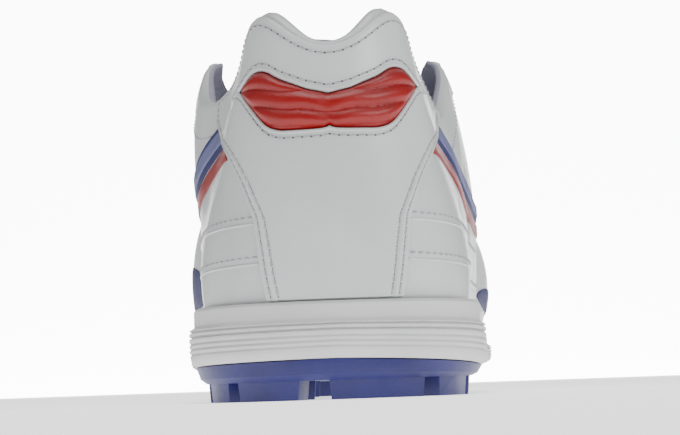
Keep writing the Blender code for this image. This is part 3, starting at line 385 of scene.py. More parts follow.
def makeMaterial(name, look):
    material = bpy.data.materials.new(name)
    material.use_nodes = True
    tree = material.node_tree
    shader = tree.nodes["Principled BSDF"]

    def addNode(kind, values, links, **settings):
        node = tree.nodes.new(kind)
        for setting, value in settings.items():
            setattr(node, setting, value)
        for socket, value in values.items():
            node.inputs[socket].default_value = value
        for socket, source in links.items():
            tree.links.new(source, node.inputs[socket])
        return node.outputs

    place = addNode("ShaderNodeTexCoord", {}, {})["Object"]
    patches = addNode("ShaderNodeTexNoise", {"Scale": 1 / look["patch"], "Detail": look["patchDetail"]},
                      {"Vector": place})["Fac"]
    low, high = look["patchSpread"]
    spread = addNode("ShaderNodeMapRange", {"From Min": low, "From Max": high}, {"Value": patches})["Result"]
    colours = {"A": (*look["colour"], 1), "B": (*look["other"], 1)}
    tint = addNode("ShaderNodeMix", colours, {"Factor": spread}, data_type="RGBA")["Result"]
    smooth, rough = look["rough"]
    gloss = addNode("ShaderNodeMapRange", {"To Min": smooth, "To Max": rough}, {"Value": patches})["Result"]
    grain = addNode("ShaderNodeTexVoronoi", {"Scale": 1 / look["grain"]}, {"Vector": place},
                    feature="SMOOTH_F1")["Distance"]
    fine = addNode("ShaderNodeTexNoise", {"Scale": 1 / look["fine"]}, {"Vector": place})["Fac"]
    coarseBump = addNode("ShaderNodeBump", {"Distance": look["grainDepth"]}, {"Height": grain})["Normal"]
    fineBump = addNode("ShaderNodeBump", {"Distance": look["fineDepth"]},
                       {"Height": fine, "Normal": coarseBump})["Normal"]
    for socket, source in (("Base Color", tint), ("Roughness", gloss), ("Normal", fineBump)):
        tree.links.new(source, shader.inputs[socket])
    for socket, value in (("Coat Weight", "coat"), ("Coat Roughness", "coatRough"),
                          ("Sheen Weight", "sheen"), ("Sheen Roughness", "sheenRough")):
        shader.inputs[socket].default_value = look[value]
    return material


materials = {name: makeMaterial(name, plainLook | look) for name, look in looks.items()}
print("materials made")


# Building of meshes

def linkObject(name, data):
    item = bpy.data.objects.new(name, data)
    bpy.context.scene.collection.objects.link(item)
    return item


def shapeMesh(name, points, faces, parts=(), faceSlots=None):
    # Mesh about the shoe's centre, welded and with its faces turned outwards
    mesh = bpy.data.meshes.new(name)
    mesh.from_pydata([tuple(np.asarray(point) - centre) for point in points], [], faces)
    for part in parts:
        mesh.materials.append(materials[part])
    if faceSlots is not None:
        mesh.polygons.foreach_set("material_index", faceSlots)
    form = bmesh.new()
    form.from_mesh(mesh)
    bmesh.ops.remove_doubles(form, verts=form.verts, dist=0.000002)
    bmesh.ops.recalc_face_normals(form, faces=form.faces)
    form.to_mesh(mesh)
    form.free()
    return mesh


def finishPiece(name, points, faces, parts, slotName, replaced=None, faceSlots=None, sharp=40):
    mesh = shapeMesh(name, points, faces, parts, faceSlots)
    mesh.shade_smooth()
    mesh.set_sharp_from_angle(angle=math.radians(sharp))
    item = linkObject(name, mesh)
    declare(item, replaced)
    return item


def declare(item, replaced=None):
    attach(item, "root")
    if replaced:
        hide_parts(replaced)


def gridFaces(index):
    faces = []
    for row in range(index.shape[0] - 1):
        for column in range(index.shape[1] - 1):
            low = (index[row, column], index[row + 1, column])
            high = (index[row + 1, column + 1], index[row, column + 1])
            faces.append(tuple(dict.fromkeys(int(corner) for corner in low + high)))
    return faces


def roundedShell(faces, inside, outside, turns, roundness):
    # Wall between two skins over the same faces, its rim rolled over in a half round
    count = len(outside)
    used = {}
    for face in faces:
        for start, end in zip(face, face[1:] + face[:1]):
            used[(start, end)] = face
    border = [pair for pair in used if (pair[1], pair[0]) not in used]
    points = list(outside) + list(inside)
    solid = list(faces) + [tuple(count + corner for corner in reversed(face)) for face in faces]
    slots = [0] * len(faces) + [1] * len(faces)
    pull = {}
    for start, end in border:
        middle = np.mean([outside[corner] for corner in used[(start, end)]], axis=0)
        edge = outside[end] - outside[start]
        for corner in (start, end):
            away = outside[corner] - middle
            size = np.dot(edge, edge)
            if size > 0:
                away = away - edge * np.dot(away, edge) / size
            pull.setdefault(corner, []).append(away)
    rim = {}
    for corner, pulls in pull.items():
        wall = (outside[corner] - inside[corner]) / 2
        away = np.mean(pulls, axis=0)
        away -= wall * np.dot(away, wall) / np.dot(wall, wall)
        away *= roundness * np.linalg.norm(wall) / max(np.linalg.norm(away), 1e-9)
        middle = (outside[corner] + inside[corner]) / 2
        chain = [corner]
        for turn in range(1, turns):
            angle = math.pi * turn / turns
            chain.append(len(points))
            points.append(middle + wall * math.cos(angle) + away * math.sin(angle))
        chain.append(count + corner)
        rim[corner] = chain
    for start, end in border:
        for turn in range(turns):
            solid.append((rim[end][turn], rim[start][turn], rim[start][turn + 1], rim[end][turn + 1]))
            slots.append(0 if turn < turns / 2 else 1)
    return points, solid, slots


def finishShell(name, inside, outside, rim, part, slotName, replaced=None, sharp=40):
    # Piece between two grids of points; rim gives the turns and the roundness of its edge
    outside = np.array(outside)
    index = np.arange(outside.shape[0] * outside.shape[1]).reshape(outside.shape[:2])
    inside = np.array(inside).reshape(-1, 3)
    points, faces, _ = roundedShell(gridFaces(index), inside, outside.reshape(-1, 3), *rim)
    return finishPiece(name, points, faces, (part,), slotName, replaced, None, sharp)


def circlePoints(middle, across, up, count):
    # Points round a circle or an oval with these two half widths
    turns = 2 * math.pi * np.arange(count)[:, None] / count
    return list(middle + across * np.cos(turns) + up * np.sin(turns))


def loopFaces(rings, sides, base=0, closed=False):
    # Faces between neighbouring rings of points
    faces = []
    for ring in range(rings if closed else rings - 1):
        low = base + ring * sides
        high = base + (ring + 1) % rings * sides
        for side in range(sides):
            turn = (side + 1) % sides
            faces.append((low + side, low + turn, high + turn, high + side))
    return faces


def capFaces(rings, sides, base=0):
    low = tuple(range(base, base + sides))
    return [low[::-1], tuple(corner + (rings - 1) * sides for corner in low)]


def bothSides(ribs):
    return [-rib for rib in reversed(ribs[1:])] + list(ribs)


def evenRibs(spans):
    ribs = [0.0]
    for end, step in spans:
        while ribs[-1] < end - 0.000001:
            ribs.append(min(round(ribs[-1] + step, 4), end))
    return ribs


# Upper: quarters, vamp and toe in pearly leather, with the padded collar's cloth inside
upperMake = {
    "wall": 0.002, "collarPadding": 0.003, "rows": 54,
    "spans": ((8.5, 0.1), (8.8, 0.05), (8.88, 0.04), (8.92, 0.02), (9.5, 0.05), (13, 0.1)),
    "padHeights": (0.60, 0.92), "padRibs": (4.8, 5.8), "creaseFoot": (0.02, 0.12), "creaseTop": (0.92, 1.0),
}
# Creases: rib and height at both ends, depth and half width in metres
creaseRows = (
    (-9.3, 0.98, -9.0, 0.6, 0.0007, 0.0032), (9.3, 0.98, 9.0, 0.6, 0.0007, 0.0032),
    (-9.9, 0.99, -9.5, 0.66, 0.0006, 0.003), (9.9, 0.99, 9.6, 0.62, 0.0006, 0.003),
    (-8.9, 0.52, -8.5, 0.22, 0.0005, 0.003), (8.9, 0.56, 8.4, 0.24, 0.0006, 0.0034),
    (-5.2, 0.72, -4.6, 0.3, 0.0005, 0.0045), (5.1, 0.7, 4.5, 0.3, 0.0005, 0.0045),
    (-3.4, 0.55, -2.5, 0.42, 0.0004, 0.004), (3.4, 0.52, 2.5, 0.4, 0.0004, 0.004),
    (-6.3, 0.5, -5.6, 0.2, 0.0004, 0.004), (6.4, 0.48, 5.7, 0.2, 0.0004, 0.004),
)


def creaseDepth(points):
    depth = np.zeros(points.shape[:-1])
    for ribA, heightA, ribB, heightB, deep, width in creaseRows:
        start = skin(ribA, heightA)
        end = skin(ribB, heightB)
        along = end - start
        share = np.clip(((points - start) @ along) / (along @ along), 0, 1)
        away = np.linalg.norm(points - start - share[..., None] * along, axis=-1)
        fade = ease(share, 0.0, 0.25) * (1 - ease(share, 0.75, 1.0)) * 0.8 + 0.2
        depth += deep * fade * (1.5 * np.exp(-(away / width) ** 2) - 0.5 * np.exp(-(away / width / 2) ** 2))
    return depth


def wallThickness(rib, height, top):
    nearTop = ease(height / top, *upperMake["padHeights"])
    roundCollar = 1 - ease(abs(rib), *upperMake["padRibs"])
    return upperMake["wall"] + upperMake["collarPadding"] * nearTop * roundCollar


def gatherGrid(ribs, rows, columnAt):
    # Two skins over ribs and rows of heights; past the vamp point both sides share their top row
    keys = {}
    outside = []
    inside = []
    index = np.zeros((len(ribs), rows + 1), dtype=int)
    for column, rib in enumerate(ribs):
        outer, inner = columnAt(rib)
        for row in range(rows + 1):
            key = (tip if abs(rib) == tip else rib, row)
            if row == rows and abs(rib) >= vampPoint:
                key = (abs(rib), row)
            if key not in keys:
                keys[key] = len(outside)
                outside.append(outer[row])
                inside.append(inner[row])
            index[column, row] = keys[key]
    return index, np.array(inside), np.array(outside)


def upperColumn(rib):
    top = edgeTop(rib)
    heights = top * np.linspace(0, 1, upperMake["rows"] + 1)
    surface = skin(rib, heights)
    outward = skinOut(rib, heights)
    fade = (1 - ease(heights / top, *upperMake["creaseTop"])) * ease(heights, *upperMake["creaseFoot"])
    dent = creaseDepth(surface) * fade
    return surface - outward * dent[:, None], surface - outward * wallThickness(rib, heights, top)[:, None]


def makeUpper():
    ribs = bothSides(evenRibs(upperMake["spans"]))
    index, inside, outside = gatherGrid(ribs, upperMake["rows"], upperColumn)
    points, faces, slots = roundedShell(gridFaces(index), inside, outside, 6, 0.8)
    parts = ("pearlLeather", "liningCloth")
    finishPiece("upperLeather", points, faces, parts, "white_leather", "upper", slots)


makeUpper()
print("upper made")

# Heel counter: a shield from the rim of the midsole to the tab, its edge turned under and stitched twice
counterMake = {
    "gap": 0.0005, "thickness": 0.0012, "foot": 0.0006, "columns": 60, "rows": 100,
    "rowInset": 0.0016, "rowPitch": 0.0019, "ridge": 0.00035, "groove": 0.00025, "footReach": 0.7,
    "ridgeWidth": 0.0006, "grooveWidth": 0.00045, "edgeWidth": 0.0009, "window": (-0.01, 0.039),
    # Up as a share of the tab height, inner and outer half width as shares of half the heel width
    "edge": ((0.00, 0.425, 0.423), (0.10, 0.455, 0.450), (0.29, 0.492, 0.487), (0.42, 0.573, 0.572),
             (0.50, 0.633, 0.633), (0.58, 0.690, 0.685), (0.70, 0.757, 0.739), (0.90, 0.757, 0.755),
             (1.10, 0.757, 0.755)),
}
counterFoot = shoe["heelStack"] + shoe["gap"] + counterMake["foot"]
counterHeights = np.linspace(0, 1, 81)


def counterEdgeRibs(side):
    # Rib at which the counter ends, for each of the even heights
    ends = []
    ribs = np.linspace(0.1, 4.0, 157)
    for height in counterHeights:
        points = skin(ribs * side, height)
        levels = shoe["heelStack"] + np.array([row[0] for row in counterMake["edge"]]) * shoe["tabHeight"]
        widths = np.array([row[1 if side < 0 else 2] for row in counterMake["edge"]]) * shoe["heelWidth"] / 2
        over = np.abs(points[:, 0]) - np.interp(points[:, 2], levels, widths)
        first = np.nonzero(over >= 0)[0][0]
        share = over[first] / (over[first] - over[first - 1])
        ends.append(ribs[first] - share * (ribs[1] - ribs[0]))
    return np.array(ends)


counterEnds = {-1: counterEdgeRibs(-1), 1: counterEdgeRibs(1)}


def endRib(across, height):
    # Rib of the counter's side edge at a height, on the side that a place across is on
    inner = np.interp(height, counterHeights, counterEnds[-1])
    outer = np.interp(height, counterHeights, counterEnds[1])
    return np.where(np.asarray(across) < 0, inner, outer)


def counterPoints(across, share):
    # Ribs and heights of the counter at shares across, from -1 to 1, and a share up
    across = np.asarray(across, dtype=float)
    foot = heightsAtLevel(counterMake["footReach"] * across, counterFoot)
    height = foot + (1 - foot) * share
    return across * endRib(across, height), height


def edgeRound(distance, width):
    return 0.45 + 0.55 * np.sqrt(1 - (1 - np.clip(distance / width, 0, 1)) ** 2)


def counterLift(distance):
    make = counterMake
    first = np.exp(-((distance - make["rowInset"]) / make["grooveWidth"]) ** 2)
    second = np.exp(-((distance - make["rowInset"] - make["rowPitch"]) / make["grooveWidth"]) ** 2)
    between = np.exp(-((distance - make["rowInset"] - make["rowPitch"] / 2) / make["ridgeWidth"]) ** 2)
    lift = make["thickness"] * edgeRound(distance, make["edgeWidth"])
    return lift - make["groove"] * (first + second) + make["ridge"] * between


# Window of the heel pad: half width as a share of half the heel width, its edges as shares of the tab
padMake = {
    "edge": ((0.000, 0.595, 0.703), (0.031, 0.586, 0.708), (0.140, 0.584, 0.722), (0.310, 0.584, 0.762),
             (0.385, 0.597, 0.792), (0.430, 0.618, 0.800), (0.480, 0.655, 0.797), (0.520, 0.690, 0.777),
             (0.555, 0.722, 0.754), (0.570, 0.738, 0.742)),
    "thickness": 0.0022, "ribDepth": 0.0011, "ribPitch": 0.0045, "columns": 70, "rows": 48, "roll": 0.00055,
    # How the ribs bend at the middle and at the sides, how they pinch in and how the ends are rounded
    "bend": (0.0012, 0.0045), "sideBend": (0.0016, 0.01, 0.02), "pinch": (0.45, 0.0022), "endWidth": 0.0022,
    "full": 0.78, "base": 0.35, "ribLift": 0.0002,
}


def padOutline(grow=0.0):
    rows = np.array(padMake["edge"])
    across = rows[:, 0] * shoe["heelWidth"] / 2
    low = shoe["heelStack"] + rows[:, 1] * shoe["tabHeight"] - grow
    high = shoe["heelStack"] + rows[:, 2] * shoe["tabHeight"] + grow
    lower = list(zip(across, low))
    upper = list(zip(across, high))
    point = (across[-1] + grow * 1.5, (low[-1] + high[-1]) / 2)
    half = lower + [point] + upper[::-1]
    return half + [(-x, z) for x, z in reversed(half) if x > 0]


def smoothLoop(outline, count):
    # Even points round a closed outline, with its corners eased
    corners = np.array(outline + outline[:1])
    lengths = runLengths(corners)
    places = np.linspace(0, lengths[-1], count, endpoint=False)
    loop = np.column_stack([np.interp(places, lengths, corners[:, axis]) for axis in (0, 1)])
    for _ in range(3):
        loop = (np.roll(loop, 1, axis=0) + loop * 2 + np.roll(loop, -1, axis=0)) / 4
    return loop


def makeCounter():
    columns = counterMake["columns"]
    rows = counterMake["rows"]
    across = np.linspace(-1, 1, 2 * columns + 1)
    outside = []
    inside = []
    for row in range(rows + 1):
        share = row / rows
        rib, height = counterPoints(across, share)
        if row == 0:
            height = heightsAtLevel(rib, counterFoot)
        surface = skin(rib, height)
        outward = skinOut(rib, height)
        side = skin(np.where(across < 0, -1, 1) * endRib(across, height), height)
        lift = counterLift(np.linalg.norm(surface - side, axis=1)) * edgeRound(1 - share, 0.02)
        outside.append(surface + outward * (counterMake["gap"] + lift[:, None]))
        inside.append(surface + outward * counterMake["gap"])
    item = finishShell("heelCounterLeather", inside, outside, (2, 0.4), "pearlLeather", "white_leather",
                       "heel_counter")
    cutWindow(item)


def cutWindow(item):
    outline = padOutline(shoe["gap"])
    wall = [np.array((x, y, z)) for y in counterMake["window"] for x, z in outline]
    sides = loopFaces(2, len(outline)) + capFaces(2, len(outline))
    cutter = linkObject("windowCutter", shapeMesh("windowCutter", wall, sides))
    modifier = item.modifiers.new("window", "BOOLEAN")
    modifier.operation = "DIFFERENCE"
    modifier.solver = "EXACT"
    modifier.object = cutter
    bpy.context.view_layer.update()
    cut = bpy.data.meshes.new_from_object(item.evaluated_get(bpy.context.evaluated_depsgraph_get()))
    item.modifiers.remove(modifier)
    item.data = cut
    bpy.data.objects.remove(cutter, do_unlink=True)


makeCounter()
print("heel counter made")


def tubeAlong(name, path, radius, part, slotName, closed=False, sides=8):
    # Round cord along points
    path = np.array(path)
    if closed:
        along = unit(np.roll(path, -1, axis=0) - np.roll(path, 1, axis=0))
    else:
        along = unit(np.gradient(path, axis=0))
    across = unit(np.cross(along, (0.0, 1.0, 0.0)))
    up = np.cross(across, along)
    points = []
    for spot in range(len(path)):
        points += circlePoints(path[spot], radius * across[spot], radius * up[spot], sides)
    faces = loopFaces(len(path), sides, 0, closed)
    if not closed:
        faces += capFaces(len(path), sides)
    finishPiece(name, points, faces, (part,), slotName)


windowLoop = smoothLoop(padOutline(padMake["roll"] + 0.0002), 160)
rollLift = counterMake["gap"] + counterMake["thickness"] - padMake["roll"] * 0.45
tubeAlong("windowRoll", seen(windowLoop[:, 0], windowLoop[:, 1], rollLift), padMake["roll"], "pearlLeather",
          "white_leather", True)


def padRise(across, level, share, reach):
    # The pad swells in its window, with rounded ribs across it that pinch in towards the middle
    make = padMake
    size = abs(across)
    middle = shoe["heelStack"] + make["edge"][0][1] * shoe["tabHeight"]
    sideBend, bendFrom, bendTo = make["sideBend"]
    bend = make["bend"][0] * math.exp(-(across / make["bend"][1]) ** 2)
    bend -= sideBend * ease(size, bendFrom, bendTo)
    wave = abs(math.sin(math.pi * (level + bend - middle + make["ribLift"]) / make["ribPitch"]))
    ends = min((reach - size) / make["endWidth"], 1)
    ends = math.sqrt(max(1 - (1 - max(ends, 0)) ** 2, 0))
    crown = 1 - abs(2 * share - 1) ** 6
    pinch = 1 - make["pinch"][0] * math.exp(-(across / make["pinch"][1]) ** 2)
    full = make["base"] + (1 - make["base"]) * crown * ends
    return make["thickness"] * make["full"] * full + make["ribDepth"] * wave ** 0.75 * crown * ends * pinch


def makePad():
    rows = np.array(padMake["edge"])
    reach = rows[-1, 0] * shoe["heelWidth"] / 2
    spots = np.sin(np.linspace(-math.pi / 2, math.pi / 2, 2 * padMake["columns"] + 1)) * reach
    shares = 0.5 - 0.5 * np.cos(np.linspace(0, math.pi, padMake["rows"] + 1))
    across = []
    level = []
    rise = []
    for x in spots:
        wide = abs(x) / (shoe["heelWidth"] / 2)
        low = shoe["heelStack"] + straight(rows, wide, 1) * shoe["tabHeight"]
        high = shoe["heelStack"] + straight(rows, wide, 2) * shoe["tabHeight"]
        for share in shares:
            across.append(x)
            level.append(low + (high - low) * share)
            rise.append(padRise(x, level[-1], share, reach))
    outside = seen(across, level, counterMake["gap"] + np.array(rise)).reshape(len(spots), -1, 3)
    inside = seen(across, level, counterMake["gap"])
    item = finishShell("heelPadRed", inside, outside, (3, 0.3), "redLeather", "red_leather", "heel_pad", 70)


makePad()
print("heel pad made")

# Eyestay round the throat, with six pairs of punched eyelets
eyestayMake = {
    "gap": 0.0005, "thickness": 0.0012, "width": 0.038, "rows": 16,
    "spans": ((8.8, 0.05), (8.92, 0.02), (9.4, 0.04)),
    "edgeWidth": 0.0009, "lineInset": 0.0018, "lineWidth": 0.0005, "lineDepth": 0.0002,
    # Rib and distance of the lower edge from the ridge as a share of the width
    "edge": ((5.75, 1.05), (6.25, 0.98), (7, 0.86), (8, 0.7), (8.5, 0.62), (8.8, 0.545), (9, 0.465),
             (9.2, 0.345), (9.3, 0.255), (9.4, 0.1)),
    "pairs": 6, "first": 6.6, "last": 8.45, "inset": 0.005,
    "holeRadius": 0.0021, "ringRadius": 0.0005, "turns": 20, "sides": 6,
    "holeRims": ((0.0001, 1.0), (-0.0006, 0.7)),  # lift, and radius as a share of the hole's
}
eyestayRows = np.array(eyestayMake["edge"])
eyestayCurve = splineThrough(eyestayRows[:, 0], eyestayRows[:, 1:])


def eyestayLow(rib):
    return heightAtWidth(rib, float(eyestayCurve(abs(rib))[0]) * eyestayMake["width"])


def eyestayColumn(rib):
    make = eyestayMake
    heights = np.linspace(eyestayLow(rib), edgeTop(rib), make["rows"] + 1)
    surface = skin(rib, heights)
    outward = skinOut(rib, heights)
    near = np.linalg.norm(surface - surface[0], axis=1)
    if abs(rib) < vampPoint:
        near = np.minimum(near, np.linalg.norm(surface - surface[-1], axis=1))
    line = np.exp(-((near - make["lineInset"]) / make["lineWidth"]) ** 2) * make["lineDepth"]
    lift = make["thickness"] * edgeRound(near, make["edgeWidth"]) - line
    return surface + outward * (make["gap"] + lift[:, None]), surface + outward * make["gap"]


def makeEyestay():
    first = eyestayMake["edge"][0][0] - 0.0001
    half = [rib for rib in evenRibs(eyestayMake["spans"]) if rib >= first]
    ribs = [-rib for rib in reversed(half)] + half
    index, inside, outside = gatherGrid(ribs, eyestayMake["rows"], eyestayColumn)
    faces = gridFaces(index[:len(half)]) + gridFaces(index[len(half):])
    points, faces, _ = roundedShell(faces, inside, outside, 2, 0.4)
    finishPiece("eyestayLeather", points, faces, ("pearlLeather",), "white_leather", "eyestay")


def eyeletSpots():
    ribs = np.linspace(eyestayMake["first"], eyestayMake["last"], eyestayMake["pairs"])
    spots = {}
    for side in (1, -1):
        places = side * ribs
        spots[side] = [(rib, float(heightBelow(rib, edgeTop(rib), eyestayMake["inset"]))) for rib in places]
    return spots[1], spots[-1]


def makeEyelets():
    make = eyestayMake
    turns = make["turns"]
    rings = ([], [])
    holes = ([], [])
    for rib, height in eyeletSpots()[0] + eyeletSpots()[1]:
        out = skinOut(rib, height)
        along = unit(skin(rib + nudge, height) - skin(rib - nudge, height))
        across = np.cross(out, along)
        middle = lifted(rib, height, make["gap"] + make["thickness"])
        rings[1].extend(loopFaces(turns, make["sides"], len(rings[0]), True))
        for ray in circlePoints(np.zeros(3), along, across, turns):
            rings[0].extend(circlePoints(middle + ray * make["holeRadius"], ray * make["ringRadius"],
                                         out * make["ringRadius"], make["sides"]))
        holes[1].extend(loopFaces(2, turns, len(holes[0])) + capFaces(2, turns, len(holes[0]))[1:])
        # Each hole is a dark cup of painted shade: a disc at the eyestay's face and a smaller one sunk below
        # it
        for lift, share in make["holeRims"]:
            radius = make["holeRadius"] * share
            holes[0].extend(circlePoints(middle + out * lift, along * radius, across * radius, turns))
    finishPiece("eyeletRings", *rings, ("pearlLeather",), "white_leather")
    finishPiece("eyeletHoleShade", *holes, ("needleHole",), "white_leather")


makeEyestay()
makeEyelets()
print("eyestay made")

# Tongue: padded cloth under the throat, its free end standing up behind the laces
tongueMake = {
    "wall": 0.002, "gap": 0.0016, "thickness": 0.0036, "width": 0.060, "reach": 0.020, "lean": 0.002,
    "first": 6.4, "last": 9.3, "columns": 26, "ribStep": 0.08, "steps": 16, "flat": 0.85, "spread": 0.18,
    "taper": 0.12, "swell": 0.00036, "channel": 0.0006, "channelEvery": 9, "channelWidth": 0.9,
    "corner": 0.16, "rim": (0.02, 0.22), "rimDrop": 0.0004,
}


def tongueSection(rib, distance):
    make = tongueMake
    shares = np.linspace(-1, 1, 2 * make["columns"] + 1)
    widths = np.abs(shares) * make["width"] / 2 * (1 - make["taper"] * (rib - ridgeStart))
    sides = np.where(shares < 0, -1, 1)
    heights = np.where(sides < 0, heightBelow(-rib, 1.0, widths), heightBelow(rib, 1.0, widths))
    return lifted(rib * sides, heights, -distance)


def makeTongue():
    make = tongueMake
    depth = make["wall"] + make["gap"]
    ribs = np.arange(make["last"], make["first"] - 0.001, -make["ribStep"])
    ribs[-1] = make["first"]
    outside = [tongueSection(rib, depth) for rib in ribs]
    inside = [tongueSection(rib, depth + make["thickness"]) for rib in ribs]
    slope = ridgeSlope(ridgeStart)
    middle = outside[-1][make["columns"]].copy()
    last = (outside[-1], inside[-1])
    shares = np.abs(np.linspace(-1, 1, 2 * make["columns"] + 1))
    for step in range(1, make["steps"] + 1):
        share = step / make["steps"]
        flat = 1 - make["flat"] * float(ease(share, 0, 1))
        for rows, start in zip((outside, inside), last):
            section = start.copy()
            section[:, 2] = middle[2] + (section[:, 2] - middle[2]) * flat
            section[:, 0] = middle[0] + (section[:, 0] - middle[0]) * (1 + make["spread"] * share)
            back = make["reach"] * share * (1 - make["corner"] * shares ** 6)
            section[:, 0] -= make["lean"] * share
            section[:, 1] -= back
            section[:, 2] -= slope * back
            rows.append(section)
    outside = np.array(outside)
    inside = np.array(inside)
    wall = outside - inside
    size = np.linalg.norm(wall, axis=2, keepdims=True)
    rim = ease(1 - shares, *make["rim"])[None, :, None]
    rows = np.arange(len(outside))
    places = rows % make["channelEvery"] - make["channelEvery"] / 2
    lines = np.exp(-(places / make["channelWidth"]) ** 2)[:, None, None]
    swell = (make["swell"] - make["channel"] * lines) * rim
    free = ease(rows, len(ribs) - 2, len(ribs) + 4)[:, None, None]
    outside = outside + wall / size * (swell * (0.5 + 0.5 * free) - make["rimDrop"] * (1 - rim))
    item = finishShell("tongueCloth", inside, outside, (6, 0.8), "liningCloth", "grey_cloth", "tongue")


makeTongue()
print("tongue made")

# Laces: one flat lace woven over the throat, its hidden ends inside the top eyelets
laceMake = {
    "width": 0.0065, "thickness": 0.0012, "lift": 0.0029, "steps": 36, "rise": 0.0014, "pinch": 0.62,
    "sink": 0.0004, "corners": 12,
}


def laceBar(start, end, over):
    # From an eyelet on one side over the throat to an eyelet on the other
    make = laceMake
    profile = []
    for turn in range(make["corners"]):
        angle = 2 * math.pi * turn / make["corners"]
        profile.append((math.copysign(abs(math.cos(angle)) ** 0.5, math.cos(angle)) / 2,
                        math.copysign(abs(math.sin(angle)) ** 0.8, math.sin(angle)) / 2))
    path = []
    outs = []
    for step in range(make["steps"] + 1):
        share = step / make["steps"]
        rib = abs(start[0]) + (abs(end[0]) - abs(start[0])) * share
        if share <= 0.5:
            spot = (math.copysign(rib, start[0]), start[1] + (1 - start[1]) * share * 2)
        else:
            spot = (math.copysign(rib, end[0]), 1 - (1 - end[1]) * (share * 2 - 1))
        ends = float(ease(min(share, 1 - share), 0.0, 0.10))
        lift = (make["lift"] + make["sink"]) * ends - make["sink"]
        if over:
            lift += make["rise"] * math.exp(-((share - 0.5) / 0.13) ** 2)
        surface = skin(*spot)
        path.append(surface + skinOut(*spot) * lift)
        outs.append(skinOut(*spot))
    path = np.array(path)
    for _ in range(4):
        path[1:-1] = (path[:-2] + path[1:-1] * 2 + path[2:]) / 4
    outs = np.array(outs)
    along = unit(np.gradient(path, axis=0))
    across = unit(np.cross(along, outs))
    normal = np.cross(across, along)
    points = []
    for step in range(len(path)):
        share = step / make["steps"]
        wide = make["pinch"] + (1 - make["pinch"]) * float(ease(min(share, 1 - share), 0.02, 0.14))
        for x, z in profile:
            flat = path[step] + across[step] * x * make["width"] * wide
            points.append(flat + normal[step] * (z + 0.5) * make["thickness"])
    return points, loopFaces(len(path), make["corners"]) + capFaces(len(path), make["corners"])


def makeLaces():
    outer, inner = eyeletSpots()
    points = []
    faces = []
    bars = [(outer[-1], inner[-1], False)]
    for pair in range(eyestayMake["pairs"] - 1):
        bars.append((outer[pair], inner[pair + 1], False))
        bars.append((outer[pair + 1], inner[pair], True))
    for start, end, over in bars:
        morePoints, moreFaces = laceBar(start, end, over)
        faces += [tuple(corner + len(points) for corner in face) for face in moreFaces]
        points += morePoints
    finishPiece("laceWeave", points, faces, ("laceCord",), "white_cord", "laces")


makeLaces()
print("laces made")

# Midsole: upper band, two narrow lines, faint ribs and a bevel down to the seam
midsoleMake = {
    "side": ((0.00, 0.36), (0.06, 0.18), (0.12, 0.08), (0.21, 0.02), (0.27, 0.0), (1.0, 0.0)),
    "bandInset": 0.0014, "band": (0.615, 0.685), "topRound": (0.93, 1.0),
    # Grooves: height as a share of the side, depth, half width as a share
    "grooves": ((0.596, 0.001, 0.016), (0.506, 0.001, 0.016), (0.397, 0.0004, 0.022), (0.307, 0.0004, 0.022),
                (0.217, 0.0004, 0.022)),
    "levels": 90, "step": 0.1,
}
# Height of the seam above the tread as a share of the lug height
seamRows = (
    (-13, 0.92), (-8, 0.88), (-5, 0.8), (-3, 0.84), (-1.5, 0.98), (0, 1.12), (1.5, 0.8), (3, 0.46),
    (5, 0.56), (8, 0.84), (13, 0.92),
)


def makeMidsole():
    make = midsoleMake
    ribs = np.array(bothSides(evenRibs(((tip, make["step"]),)))[:-1])
    spots = edgeCurve(ribs)
    seam = treadHeight(spots[:, 1]) + shoe["lug"] * straight(seamRows, ribs) + shoe["gap"] / 2
    rim = rimHeight(spots[:, 1])
    rings = []
    for share in np.linspace(0, 1, make["levels"] + 1):
        inset = straight(make["side"], share) * bevelOf(ribs)
        inset += make["bandInset"] * (ease(share, *make["band"]) + 0.7 * ease(share, *make["topRound"]) ** 2)
        for height, depth, width in make["grooves"]:
            inset += depth * math.exp(-((share - height) / width) ** 2)
        rings.append(np.column_stack((plan(ribs, inset), seam + (rim - seam) * share)))
    lip = plan(ribs, shoe["lipInset"])
    for drop in (0, shoe["lipDepth"]):
        rings.append(np.column_stack((lip, rimHeight(lip[:, 1]) - drop)))
    count = len(ribs)
    faces = loopFaces(len(rings), count)
    half = count // 2
    for low in (0, (len(rings) - 1) * count):
        rows = [(low + half - spot, low + (half + spot) % count) for spot in range(half + 1)]
        faces += gridFaces(np.array(rows))
    finishPiece("midsoleFoam", np.concatenate(rings), faces, ("whiteFoam",), "white_foam", "midsole")


makeMidsole()
print("midsole made")

# Outsole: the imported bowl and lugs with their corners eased
outsoleMake = {"ease": 0.00045, "segments": 2, "angle": 24, "weld": 0.00001, "flat": 1.5, "sharp": 40}


def makeOutsole():
    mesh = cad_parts["outsole"].data.copy()
    form = bmesh.new()
    form.from_mesh(mesh)
    bmesh.ops.remove_doubles(form, verts=form.verts, dist=outsoleMake["weld"])
    flat = math.radians(outsoleMake["flat"])
    bmesh.ops.dissolve_limit(form, angle_limit=flat, verts=form.verts, edges=form.edges)
    form.to_mesh(mesh)
    form.free()
    mesh.materials.clear()
    mesh.materials.append(materials["blueRubber"])
    item = linkObject("outsoleRubber", mesh)
    rounding = item.modifiers.new("rounding", "BEVEL")
    rounding.width = outsoleMake["ease"]
    rounding.segments = outsoleMake["segments"]
    rounding.limit_method = "ANGLE"
    rounding.angle_limit = math.radians(outsoleMake["angle"])
    rounding.harden_normals = False
    mesh.shade_smooth()
    mesh.set_sharp_from_angle(angle=math.radians(outsoleMake["sharp"]))
    declare(item, "outsole")


makeOutsole()
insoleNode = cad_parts["insole"]
insoleNode.data.materials.clear()
insoleNode.data.materials.append(materials["liningCloth"])
print("outsole and insole made")
